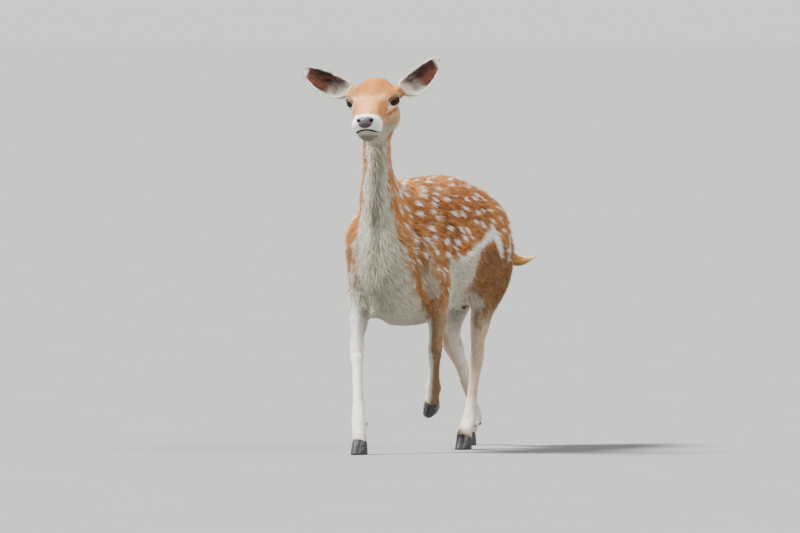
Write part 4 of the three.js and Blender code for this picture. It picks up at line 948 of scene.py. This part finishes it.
# %% Hide: the same colours, with the short hair as bump, and the bare wet nose
# Short hair is drawn coarser than its true 0.1 mm, so that it shows.
hide, tree, shader = start_material("deer_hide_with_short_hair", IOR=1.5, Sheen_Weight=0.1, Sheen_Roughness=0.5,
                                    Specular_IOR_Level=0.3)
place = add(tree, "TexCoord").outputs["Object"]
bare = add(tree, "Attribute", attribute_name="bare_nose").outputs["Fac"]
fuzz = noise_in(tree, 700.0, 3.0)  # about 1.4 mm
pebbles = add(tree, "TexVoronoi", [("Vector", place)], Scale=620.0).outputs["Distance"]  # nose plates of 1.6 mm
height = add(tree, "Mix", [("Factor", bare), (2, fuzz), (3, pebbles)])
relief = add(tree, "Bump", [("Height", height.outputs[0])], Strength=0.5, Distance=0.0006)
gloss = add(tree, "MapRange", [("Value", bare)], To_Min=0.72, To_Max=0.32)
marked_colour(tree, shader, fuzz, 0.85, 1.12)
tree.links.new(gloss.outputs["Result"], shader.inputs["Roughness"])
tree.links.new(relief.outputs["Normal"], shader.inputs["Normal"])


def store_value(mesh, name, values):
    mesh.attributes.new(name, "FLOAT", "POINT").data.foreach_set("value", values.astype(np.float32))


store_value(skin.data, "bare_nose", nose_share)
skin.data.materials.clear()
skin.data.materials.append(hide)
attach(skin, "root")
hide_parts(*FLESH, "tail")

# %% [markdown]
# ## Growing the coat
# A doe's summer coat is short, smooth guard hair. Particle hair or curves would not survive as solid meshes, so
# each tuft is a small closed spike with three sides: a root ring a little under the skin, a middle ring that
# bends it along the body, and a tip. Roots are drawn evenly by area over the skin's own triangles. Every tuft
# knows its place on an unwrap of the skin, so its colours can be baked to one small patch there.

# %% Unwrap the skin
OPEN_ANGLE = math.radians(66)
edit(skin, (bpy.ops.uv.smart_project, {"angle_limit": OPEN_ANGLE, "island_margin": 0.002}))
skin.data.uv_layers.active.name = "OFBake"
corner_uv = read(skin.data.uv_layers.active.data, "uv", 2).reshape(-1, 3, 2)
triangles = read(skin.data.loops, "vertex_index", 1, np.int64).reshape(-1, 3)
skin_points, skin_normal = points_of(skin.data), normals_of(skin.data)


def face_cross(co, faces):
    """Along each triangle's normal, twice its area long."""
    return np.cross(co[faces[:, 1]] - co[faces[:, 0]], co[faces[:, 2]] - co[faces[:, 0]])


area = 0.5 * np.linalg.norm(face_cross(skin_points, triangles), axis=1)
print("skin area m2:", round(area.sum(), 3))


# %% Draw roots
def roots(count, where):
    """Even places on the skin's triangles, where a share is given for each point of the skin."""
    total = np.cumsum(area * where[triangles].mean(1))
    pick = np.searchsorted(total, (np.arange(count) + random.random(count)) / count * total[-1])
    pick = np.minimum(pick, len(triangles) - 1)
    r, s = np.sqrt(random.random(count)), random.random(count)
    mix = np.c_[1 - r, r * (1 - s), r * s][:, :, None]

    def at(values):
        return (values[triangles[pick]] * mix).sum(1)

    normal = unit(at(skin_normal))
    return {"at": at(skin_points), "normal": normal, "lie": flat_to_skin(at(lie), normal), "hair": at(hair),
            "member": at(member), "uv": (corner_uv[pick] * mix).sum(1)}


def bent_paths(root, up, along, length, rise, sway, rows):
    """Paths that leave the skin and bend over along it."""
    side = np.cross(up, along)
    paths = []
    for t in rows:
        lift = rise * (1.35 * t - 0.55 * t * t) * length - 0.0009 * (t == 0)
        paths.append(root + along * (length * t)[:, None] + up * lift[:, None]
                     + side * (sway * length * t * t)[:, None])
    return np.stack(paths, 1)


# %% Build strands
PATCH = 0.0015  # half the side of a strand's patch on the unwrap


def own_lean(co, faces):
    """Each point's plain average of its faces' directions."""
    face = unit(face_cross(co, faces) * 1e6)  # in square millimetres, since the faces are tiny
    out = np.zeros_like(co)
    for corner, axis in np.ndindex(3, 3):
        out[:, axis] += np.bincount(faces[:, corner], face[:, axis], len(co))
    return unit(out)


def strand_faces(rings):
    """The triangles of one strand: its root, its walls from ring to ring, and its tip."""
    faces = [(0, 2, 1)]
    for k in range(rings - 1):
        a, b, c, d, e, f = range(3 * k, 3 * k + 6)
        faces += [(a, b, e), (a, e, d), (b, c, f), (b, f, e), (c, a, d), (c, d, f)]
    a, b, c, tip = range(3 * rings - 3, 3 * rings + 1)
    return np.array(faces + [(a, b, tip), (b, c, tip), (c, a, tip)])


def build_strands(name, paths, up, width, root_colour, tip_colour, uv, flat=0.55, even=0.0, soft=0.6):
    """Closed three-sided spikes along paths (strand, row, place). A ring of three points stands at each row but
    the last, which is the tip. Even keeps the width along the strand; soft turns the shading to the skin's."""
    count, rows = paths.shape[:2]
    along = unit(np.diff(paths, axis=1))
    points, tints = [], []
    for k, share in enumerate(np.linspace(0, 1, rows)[:-1]):
        side = unit(np.cross(up, along[:, k]))
        over = np.cross(along[:, k], side)
        full = 1 - share ** (1.4 + 4 * even)
        half = (width * (0.7 + 0.3 * math.sin(math.pi * min(1, share * 2))) * full ** 0.8 / 2)[:, None]
        middle = paths[:, k]
        points += [middle - side * half, middle + side * half, middle + over * half * flat]
        tints += [root_colour * (1 - share) + tip_colour * share] * 3
    points, tints = [*points, paths[:, -1]], [*tints, tip_colour]
    per = len(points)
    co = np.stack(points, 1).reshape(-1, 3)
    faces = (strand_faces(rows - 1)[None] + (np.arange(count) * per)[:, None, None]).reshape(-1, 3)
    mesh = bpy.data.meshes.new(name)
    mesh.from_pydata(co, [], faces)
    mesh.update()
    store_colour(mesh, np.clip(np.stack(tints, 1).reshape(-1, 3), 0, 1))
    spread = np.linspace(-PATCH, PATCH, per)
    patch = np.clip(uv[:, None] + np.c_[spread, np.roll(spread, per // 2)][None], 0.0, 1.0).reshape(-1, 2)
    layer = mesh.uv_layers.new(name="OFBake")
    layer.data.foreach_set("uv", patch[faces.ravel()].astype(np.float32).ravel())
    mesh.polygons.foreach_set("use_smooth", np.ones(len(mesh.polygons), bool))
    leaning = np.repeat(up, per, axis=0) * soft + own_lean(co, faces) * (1 - soft)
    mesh.normals_split_custom_set_from_vertices(leaning.tolist())
    mesh.materials.append(hair_fibre)
    piece = put_in_scene(name, mesh)
    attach(piece, "root")
    return piece


# %% [markdown]
# ## The coat, part by part
# Trunk and neck carry the longest hair, with a few long wisps over it. Legs, face and ears have shorter tufts
# without a middle ring, and none grow on the nose, the lips' line and the eyes. One object for all would be too
# heavy to handle, so each kind of hair is a piece of its own, and a large one is cut in several along the body.

# %% Grow one kind of hair
MOST_TRIANGLES = 196000  # in one piece
# tufts are darker at the root as painted shade among the hairs, and lighter at the tip as painted light
ROOT_PAINTED_SHADE, TIP_PAINTED_LIGHT = 0.74, 1.12
coat_triangles = 0


def coat(name, count, where, rows=(0, 0.45, 1), size=(1.0, 1.0, 1.0), wild=0.12, mottle=0.16, pale_tips=0.0,
         soft=0.6, tip_tint="#deb27a"):
    """Size scales their length, width and rise; mottle is how far the lightness of one tuft strays from the
    next."""
    global coat_triangles
    count = int(count * amount)
    drawn = roots(count, where)
    side = np.cross(drawn["normal"], drawn["lie"])
    along = unit(drawn["lie"] + side * random.normal(0, wild, count)[:, None])
    length = drawn["hair"][:, 0] / 1000 * random.uniform(0.7, 1.3, count) * size[0]
    width = drawn["hair"][:, 1] / 1000 * random.uniform(0.75, 1.25, count) * size[1]
    rise = drawn["hair"][:, 2] * random.uniform(0.6, 1.5, count) * size[2]
    colour = markings(drawn["at"] + along * length[:, None] * 0.5, drawn["normal"], drawn["member"])
    colour = colour * np.clip(np.exp(random.normal(0, mottle, count)), 0.55, 1.6)[:, None]
    tips = colour * TIP_PAINTED_LIGHT
    # tips mixed toward tip_tint: painted highlight on trunk and wisps, white hair in the ears
    highlight_and_white_tips = (random.random(count) < pale_tips)[:, None]
    tips = np.where(highlight_and_white_tips, tips * 0.45 + linear(tip_tint) * 0.55, tips)
    paths = bent_paths(drawn["at"], drawn["normal"], along, length, rise, random.normal(0, 0.12, count), rows)
    order = np.argsort(drawn["at"][:, 1] + drawn["at"][:, 2] * 0.3)
    triangles_each = len(strand_faces(len(rows) - 1))
    pieces = math.ceil(count * triangles_each / MOST_TRIANGLES)
    for number, chosen in enumerate(np.array_split(order, pieces)):
        build_strands(f"{name}_{number + 1}", paths[chosen], drawn["normal"][chosen], width[chosen],
                      colour[chosen] * ROOT_PAINTED_SHADE, tips[chosen], drawn["uv"][chosen], soft=soft)
    coat_triangles += count * triangles_each
    print(name, count, "tufts in", pieces, "pieces, longest", round(length.max() * 1000), "mm")


# %% Tufts of the trunk, legs, face and ears
def share_of(*words):
    return member[:, [i for i, n in enumerate(PARTS) if any(w in n for w in words)]].sum(1)


amount = 1.0
mm = head_mm(skin_points)
inward, up, out = in_gaze(mm)
over_lips = mm[:, 2] - mouth_line(mm[:, 0])
clear = 1 - smooth(1.55, 1.35, np.hypot(inward / EYE_HALF[0], up / EYE_HALF[1])) * (out > 0)
clear *= (1 - nose_share) * (np.abs(over_lips + 1.2) > 3.0)
head_share = share_of("head", "lower_jaw")
muzzle = smooth(-95, -120, mm[:, 1]) * smooth(-2, 2, over_lips) * head_share
face = head_share * clear
LONG_ROWS, SHORT_ROWS = (0, 0.35, 0.7, 1), (0, 1)
# pale tips on the trunk and the wisps are painted highlight
coat("coat_trunk", 89500, share_of("torso", "neck", "upper_leg", "udder"), mottle=0.33, pale_tips=0.12, soft=0.42)
coat("coat_wisps", 2400, share_of("torso", "upper_leg"), LONG_ROWS, (1.55, 0.5, 1.5), 0.3, pale_tips=0.3)
coat("coat_legs", 34000, share_of("lower_leg"), SHORT_ROWS, wild=0.08)
coat("coat_face", 40000, face * (1 - muzzle), SHORT_ROWS, wild=0.1)
coat("coat_muzzle", 9000, face * muzzle, SHORT_ROWS, (0.6, 0.7, 0.8), 0.1)
coat("coat_ears", 18000, share_of("ear"), SHORT_ROWS, wild=0.1)

# %% Long pale hair inside the ears and round their rims
for name in EARS:
    along, upper, wide, facing = ear_places(mm, skin_normal, name)
    own = share_of(name)
    inside = smooth(0.1, 0.5, facing) * own * smooth(58, 26, along) * (along > 2)
    rim = smooth(0.8, 0.94, wide) * own * smooth(8, 20, along)
    pale = {"pale_tips": 0.9, "tip_tint": "#f6efe2"}
    coat(f"{name}_lining", 750, inside * (0.25 + smooth(10, -14, upper)), LONG_ROWS, (2.7, 0.5, 2.0), 0.25, **pale)
    coat(f"{name}_fringe", 2200, rim, (0, 0.5, 1), (0.85, 0.55, 1.2), 0.2, **pale)

# %% [markdown]
# ## The tail's long hair
# A fallow doe's tail is long-haired, and hers is flicked up at the tip. Tufts that only lie on the dock would
# leave it thin, so its hair is long locks that start along the dock and run down past it to the tip, each
# following the curve of the tail at its own distance.

# %% The shape of the haired tail
TAIL = [  # place of the middle, half sizes across it: to each side, in front, behind (mm)
    ((0, 570, 644), 18, 7, 14), ((1, 611, 627), 22, 12, 17), ((2, 638, 592), 24, 14, 18),
    ((7, 652, 550), 21, 14, 18), ((22, 670, 520), 19, 13, 16), ((43, 688, 508), 12, 9, 10),
    ((68, 704, 514), 4.5, 4, 4), ((84, 712, 524), 1, 1, 1),
]
stations = np.array([[*at, *sizes] for at, *sizes in TAIL], float)


def along_tail(way):
    """Middle and half sizes at shares of the tail's length, from a smooth curve through its stations."""
    place = np.clip(way, 0, 1) * (len(stations) - 1)
    i = np.minimum(place.astype(int), len(stations) - 2)
    t = (place - i)[..., None]
    p = [stations[np.clip(i + k, 0, len(stations) - 1)] for k in (-1, 0, 1, 2)]
    return 0.5 * (2 * p[1] + (p[2] - p[0]) * t + (2 * p[0] - 5 * p[1] + 4 * p[2] - p[3]) * t**2
                  + (3 * p[1] - p[0] - 3 * p[2] + p[3]) * t**3)


# %% Paths of the locks
LOCKS = int(2700 * amount)
LOCK_WIDTH = 0.0022  # m
# locks are darker at the root as painted shade, and lighter at the end as painted light
LOCK_ROOT_PAINTED_SHADE, LOCK_TIP_PAINTED_LIGHT = 0.66, 1.15
along_lock = np.linspace(0, 1, 7)
HALF_WAY = len(along_lock) // 2

starts = random.uniform(0.05, 0.78, LOCKS)
ends = np.minimum(starts + random.uniform(0.22, 0.42, LOCKS), 1 - 0.22 * random.random(LOCKS) ** 1.6)
around = random.uniform(0, 2 * math.pi, LOCKS)
fill = random.uniform(0.35, 1.06, LOCKS)[:, None, None]
flare = np.abs(random.normal(0, 0.22, LOCKS))[:, None, None]
way = starts[:, None] + (ends - starts)[:, None] * along_lock
middle = along_tail(way)
run = unit(along_tail(way + 0.01)[..., :3] - along_tail(way - 0.01)[..., :3])
across = unit(np.cross(run, unit(np.array([0.3, 0.9, 0.3]))))
fore = np.cross(across, run)
turned = around[:, None] + along_lock * random.normal(0, 0.5, LOCKS)[:, None]
cos, sin = np.cos(turned)[..., None], np.sin(turned)[..., None]
half_fore = np.where(sin > 0, middle[..., 4:5], middle[..., 5:6])
share = along_lock[None, :, None]
swell = fill * np.minimum(1, 0.35 + 1.5 * share) * (1 + flare * share**2)
out_from = across * cos * middle[..., 3:4] + fore * sin * half_fore
paths = np.array(BODY_ORIGIN) + (middle[..., :3] + out_from * swell) / 1000

# %% Colour the locks and build them
skin_tree = BVHTree.FromPolygons(skin_points.tolist(), triangles.tolist())


def uv_under(points):
    """The unwrap's place on the skin next to each point."""
    return corner_uv[[skin_tree.find_nearest(p)[2] for p in points]].mean(1)


lock_up = unit(out_from[:, HALF_WAY])
root_tint = tail_colours(middle[:, 2, :3] + out_from[:, 2], lock_up)
end_tint = tail_colours(body_mm(paths[:, -1]), lock_up)
bright = np.clip(np.exp(random.normal(0, 0.32, LOCKS)), 0.45, 1.7)[:, None]
tail_locks = build_strands("tail_locks", paths, lock_up, np.full(LOCKS, LOCK_WIDTH),
                           root_tint * bright * LOCK_ROOT_PAINTED_SHADE, end_tint * bright * LOCK_TIP_PAINTED_LIGHT,
                           uv_under(paths[:, 0]), even=0.2, soft=0.35)
coat_triangles += len(tail_locks.data.polygons)
print("tail locks:", LOCKS)

# %% [markdown]
# ## Whiskers
# A few stiff, fine hairs stand out from the upper lip and the chin. The coat's tufts lie flat and are too short
# for them, but the same strand with more rings and hardly any width makes them, and it sags under its weight.

# %% Whiskers of lips and chin
WHISKERS, WHISKER_WIDTH = 30, 0.00035  # and m

drawn = roots(WHISKERS, muzzle * clear * (np.abs(mm[:, 2] + 6) < 9) * (np.abs(mm[:, 0]) > 20))
outward = unit(drawn["normal"] + drawn["lie"] * 0.5 + np.array([0, 0, -0.35]))
length = random.uniform(0.014, 0.03, WHISKERS)[:, None]
steps = np.linspace(0, 1, 5)
paths = drawn["at"][:, None] + outward[:, None] * (length * steps)[..., None]
paths[..., 2] -= 0.18 * length * steps**2
paths[:, 0] -= drawn["normal"] * 0.001
grey = np.tile(linear("#8c8279"), (WHISKERS, 1))
build_strands("whiskers", paths, drawn["lie"], np.full(WHISKERS, WHISKER_WIDTH), grey, grey * 1.6, drawn["uv"],
              flat=0.9, even=0.1)
print("whiskers:", WHISKERS, "coat triangles so far:", coat_triangles)

# %% [markdown]
# ## Eyes
# A deer's eye is a big ball with a nearly black pupil in a dark brown iris, under a wet film. The solid is a ball
# of few faces, and smoothing would shrink it. So a finer sphere takes its place, turned to look outwards, with the
# cornea raised on it. Each point knows how far it lies from the pupil, and a ramp makes rings of colour of that.

# %% Colours of the eye, from the pupil outwards
wet_eye, tree, shader = start_material("wet_eye", Roughness=0.25, IOR=1.376, Specular_IOR_Level=0.15,
                                       Coat_Weight=0.2, Coat_Roughness=0.03)
from_pupil = add(tree, "Attribute", attribute_name="from_pupil").outputs["Fac"]
iris = tinted(tree, from_pupil, (0, "#020202"), (0.3, "#050404"), (0.36, "#241309"), (0.7, "#1a0e08"),
              (0.8, "#0a0706"), (1, "#3a2f2a"))
tree.links.new(iris, shader.inputs["Base Color"])

# %% Eyeballs
SIDES = (("left", 1), ("right", -1))
BALL_RADIUS, CORNEA = 0.0176, 0.0011  # m, and how far the cornea stands out
IRIS_HALF = (0.0145, 0.0115)  # half width and half height, m
WHITE_FROM = 1.2  # in shares of the iris

for side_name, side in SIDES:
    centre = head_frame @ (Vector(EYE_AT * (side, 1, 1)) / 1000)
    gaze = head_direction(*gaze_of(side))
    bpy.ops.object.select_all(action="DESELECT")
    bpy.ops.mesh.primitive_uv_sphere_add(segments=56, ring_count=40, radius=BALL_RADIUS, location=centre,
                                         rotation=gaze.to_track_quat("Z", "Y").to_euler())
    eyeball = bpy.context.object
    eyeball.name = eyeball.data.name = f"eyeball_{side_name}"
    bpy.ops.object.transform_apply(location=True, rotation=True, scale=True)
    co = points_of(eyeball.data)
    local = co - np.array(centre)
    ahead = local @ np.array(gaze) / BALL_RADIUS
    move_points(eyeball.data, co + np.array(gaze) * (CORNEA * smooth(0.78, 0.95, ahead))[:, None])
    up_eye = HEAD_AXES @ EYE_UP
    level = unit(np.cross(up_eye, gaze))
    off = np.hypot(local @ level / IRIS_HALF[0], local @ up_eye / IRIS_HALF[1])
    store_value(eyeball.data, "from_pupil", np.where(ahead > 0, np.minimum(off / WHITE_FROM, 1), 1.0))
    bpy.ops.object.shade_smooth()
    eyeball.data.materials.append(wet_eye)
    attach(eyeball, "root")
    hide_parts(f"eye_{side_name}")

# %% [markdown]
# ## Eyelids and lashes
# Lids are folds of hide round an almond opening, tan above and pale below, with a dark bare rim. Carved into the
# skin they would come out coarse. So each eye gets one closed shell, which starts at the opening, lies on the ball
# and runs out under the skin. The lashes are strands again, stiff and dark, along the upper lid.

# %% Places round an eye
def eye_axes(side):
    """An eye's axes in the head: across towards the nose, up, and straight out."""
    gaze = gaze_of(side)
    to_nose = np.array([-side * math.cos(EYE_TURN), -math.sin(EYE_TURN), 0.0])
    return np.array([to_nose, EYE_UP - gaze * (EYE_UP @ gaze) / (gaze @ gaze), gaze])


def on_eye(side, wide, high, radius):
    """Places this many millimetres across and up, on a ball round the middle of an eye."""
    out = np.sqrt(np.maximum(radius**2 - wide**2 - high**2, 0))
    place = EYE_AT * (side, 1, 1) + np.stack([wide, high, out], -1) @ eye_axes(side)
    return (place / 1000) @ HEAD_AXES.T + HEAD_ORIGIN


def almond(angle):
    """Across (towards the nose) and up on the eye's front, in millimetres, for an angle round the opening."""
    wide = 14.6 * np.cos(angle)
    high = np.where(np.sin(angle) > 0, 7.6, 7.4) * np.sign(np.sin(angle)) * np.abs(np.sin(angle)) ** 0.85
    return wide, high - 0.16 * wide


# %% Eyelids
LID_STEPS, LID_ROWS = 96, 12  # round the opening, and from the opening outwards
LID_RADIUS, LID_THICK = 19.3, 0.9  # mm
LID_REACH = (19.2, 15.6)  # half width and half height of its outer edge, mm


def lid_row(side, u, depth):
    """One row of a lid, u of the way out and so deep under its surface: places and colours."""
    angle = np.arange(LID_STEPS) / LID_STEPS * 2 * math.pi
    wide, high = almond(angle)
    wide = wide * (1 - u) + LID_REACH[0] * np.cos(angle) * u
    high = high * (1 - u) + LID_REACH[1] * np.sin(angle) * u
    radius = LID_RADIUS + 0.5 * bump_at(u, 0.16, 0.1) - 0.5 * bump_at(u, 0.42, 0.09) - 1.1 * u**3 - depth
    rim = np.full(LID_STEPS, smooth(0.30, 0.16, u))
    # the upper lid's tan is darkened as painted shade from the brow
    return on_eye(side, wide, high, radius), layered("#cbb79c", ("#7d583a", smooth(-2, 3, high)), ("#17100e", rim))


def build_lids(side_name, side):
    way_out = np.linspace(0, 1, LID_ROWS)
    rows = [lid_row(side, u, 0) for u in way_out] + [lid_row(side, u, LID_THICK) for u in way_out[::-1]]
    ids = np.arange(len(rows) * LID_STEPS).reshape(-1, LID_STEPS)
    after = np.roll(ids, -1, 0)
    faces = np.stack([ids, np.roll(ids, -1, 1), np.roll(after, -1, 1), after], -1).reshape(-1, 4)
    mesh = bpy.data.meshes.new(f"eyelids_{side_name}")
    mesh.from_pydata(np.concatenate([places for places, _ in rows]).tolist(), [], faces.tolist())
    lid = put_in_scene(mesh.name, mesh)
    edit(lid, (bpy.ops.mesh.normals_make_consistent, {"inside": False}),
         (bpy.ops.uv.smart_project, {"angle_limit": OPEN_ANGLE, "island_margin": 0.01}))
    bpy.ops.object.shade_smooth()
    mesh.uv_layers.active.name = "OFBake"
    store_colour(mesh, np.concatenate([tint for _, tint in rows]))
    mesh.materials.append(hide)
    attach(lid, "root")
    print(lid.name, len(mesh.polygons), "faces")


# %% Lashes, and both eyes
LASHES, LASH_WIDTH = 54, 0.0007  # to an eye, and m


def build_lashes(side_name, side):
    wide, high = almond(random.uniform(0.12, 0.95, LASHES) * math.pi)
    start = on_eye(side, wide * 1.04, high * 1.06, LID_RADIUS - 0.1)
    to_nose, up_eye, gaze = eye_axes(side)
    away = (wide[:, None] * to_nose * 0.35 + high[:, None] * up_eye * 0.55) / 12 + gaze
    t = np.linspace(0, 1, 5)
    length = random.uniform(0.006, 0.0095, LASHES)[:, None]
    paths = start[:, None] + unit(away @ HEAD_AXES.T)[:, None] * (length * t)[..., None]
    paths[..., 2] += length * (0.35 * t**2 - 0.25 * t)  # they sink a little, then curl up
    black = np.tile(linear("#15100e"), (LASHES, 1))
    build_strands(f"lashes_{side_name}", paths, np.tile(HEAD_AXES @ up_eye, (LASHES, 1)),
                  np.full(LASHES, LASH_WIDTH), black, black, uv_under(start), flat=0.8, even=0.1)


for side_name, side in SIDES:
    build_lids(side_name, side)
    build_lashes(side_name, side)
print("lashes to an eye:", LASHES)

# %% [markdown]
# ## Hooves
# Deer walk on two claws to a foot, with two small dewclaws behind, all of smooth, dark keratin. The solids have
# their true places and size, with few faces. A bevel would only round their edges. So copies are wrapped finely
# and smoothed, then thin rings of growth are raised round the wall, but not on the sole.

# %% Horn: blotched dark keratin with fine scratches
horn, tree, shader = start_material("hoof_keratin", Roughness=0.42, IOR=1.55)
blotches = tinted(tree, noise_in(tree, 90.0, 4.0), (0, "#110e10"), (1, "#2b2528"))  # of about 11 mm
relief = add(tree, "Bump", [("Height", noise_in(tree, 900.0, 2.0))], Strength=0.35, Distance=0.0004)
tree.links.new(blotches, shader.inputs["Base Color"])
tree.links.new(relief.outputs["Normal"], shader.inputs["Normal"])

# %% Claws and dewclaws of each foot
CLAW_CELL = 0.0009
RING_HEIGHT, RING_PITCH = 0.00011, 0.0026  # m

for foot in ("fore_left", "fore_right", "hind_left", "hind_right"):
    claws = [f"{foot}_{kind}_{where}" for kind in ("hoof", "dewclaw") for where in ("inner", "outer")]
    copies = [cad_copy(name, f"{foot}_claws") for name in claws]
    for piece in copies:
        apply_modifier(piece, "REMESH", mode="VOXEL", voxel_size=CLAW_CELL)
        apply_modifier(piece, "SMOOTH", factor=0.5, iterations=6)
    select_only(copies[-1], *copies)
    bpy.ops.object.join()
    claw = bpy.context.object
    claw.name = claw.data.name = f"{foot}_claws"
    co, n = points_of(claw.data), normals_of(claw.data)
    down = co[:, 2].max() - co[:, 2] + 0.25 * (co[:, 1] - co[:, 1].mean())
    wall = smooth(-0.9, -0.6, n[:, 2])
    rings = RING_HEIGHT * np.sin(down / RING_PITCH * 2 * math.pi)
    move_points(claw.data, co + n * (rings * wall - 0.0001)[:, None])
    apply_modifier(claw, "DECIMATE", ratio=0.5)
    bpy.ops.object.shade_smooth()
    claw.data.materials.append(horn)
    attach(claw, "root")
    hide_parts(*claws)
    print(claw.name, len(claw.data.polygons))

# %% [markdown]
# ## Floor, light and camera
# The doe stands on a plain, pale, matte floor, wide enough to have no edge. A room with bright walls and a dimmer
# ceiling lights her softly. It could be a panorama of a real room, but a ramp over the sky's height is enough. Two
# soft suns model her form. The camera is far off with a long lens, nearly level, as one would watch a shy animal.

# %% Floor
pale_floor, tree, shader = start_material("pale_matte_floor", Roughness=0.95, Specular_IOR_Level=0.1)
clouds = tinted(tree, noise_in(tree, 3.0, 3.0), (0, "#7c7c7a"), (1, "#81817f"))
tree.links.new(clouds, shader.inputs["Base Color"])
bpy.ops.object.select_all(action="DESELECT")
bpy.ops.mesh.primitive_circle_add(vertices=96, radius=600, fill_type="NGON", location=(0, 0, 0))
floor = bpy.context.object
floor.name = "floor"
floor.data.materials.append(pale_floor)

# %% Light: a softly lit room, a soft key light high on her right, and a weaker one over her left flank
WALLS, CEILING = (0.04, (1.12, 1.12, 1.105, 1)), (0.16, (0.36, 0.38, 0.41, 1))  # height in the sky, light
SUNS = (("key", 15.5, 14, (-0.6, -0.52, 1.0)), ("side_light", 3.4, 40, (0.9, 0.05, 0.8)))  # W/m2, degrees, from

world = bpy.data.worlds.new("soft_room")
bpy.context.scene.world = world
world.use_nodes = True
tree = world.node_tree
sky = tree.nodes["Background"]
split = add(tree, "SeparateXYZ", [("Vector", add(tree, "TexCoord").outputs["Generated"])])
room = add(tree, "ValToRGB", [("Fac", split.outputs["Z"])])
for element, (height, light) in zip(room.color_ramp.elements, (WALLS, CEILING)):
    element.position, element.color = height, light
tree.links.new(room.outputs["Color"], sky.inputs["Color"])
sky.inputs["Strength"].default_value = 1.0
for name, strength, spread, source in SUNS:
    lamp = bpy.data.lights.new(name, "SUN")
    lamp.energy, lamp.angle = strength, math.radians(spread)
    put_in_scene(name, lamp).rotation_euler = Vector(source).to_track_quat("Z", "Y").to_euler()

# %% Camera
AZIMUTH, ELEVATION, DISTANCE = math.radians(25), math.radians(1.2), 32.0
LENS, SENSOR = 531, 36  # mm
AIM = on_body(0, 0, 506)

lens = bpy.data.cameras.new("camera")
lens.lens, lens.sensor_width, lens.clip_end = LENS, SENSOR, 1000
camera = put_in_scene("camera", lens)
level = Vector((math.sin(AZIMUTH), -math.cos(AZIMUTH), 0))
back = level * math.cos(ELEVATION) + Vector((0, 0, math.sin(ELEVATION)))
camera.location = AIM + back * DISTANCE
camera.rotation_euler = (-back).to_track_quat("-Z", "Y").to_euler()
bpy.context.scene.camera = camera
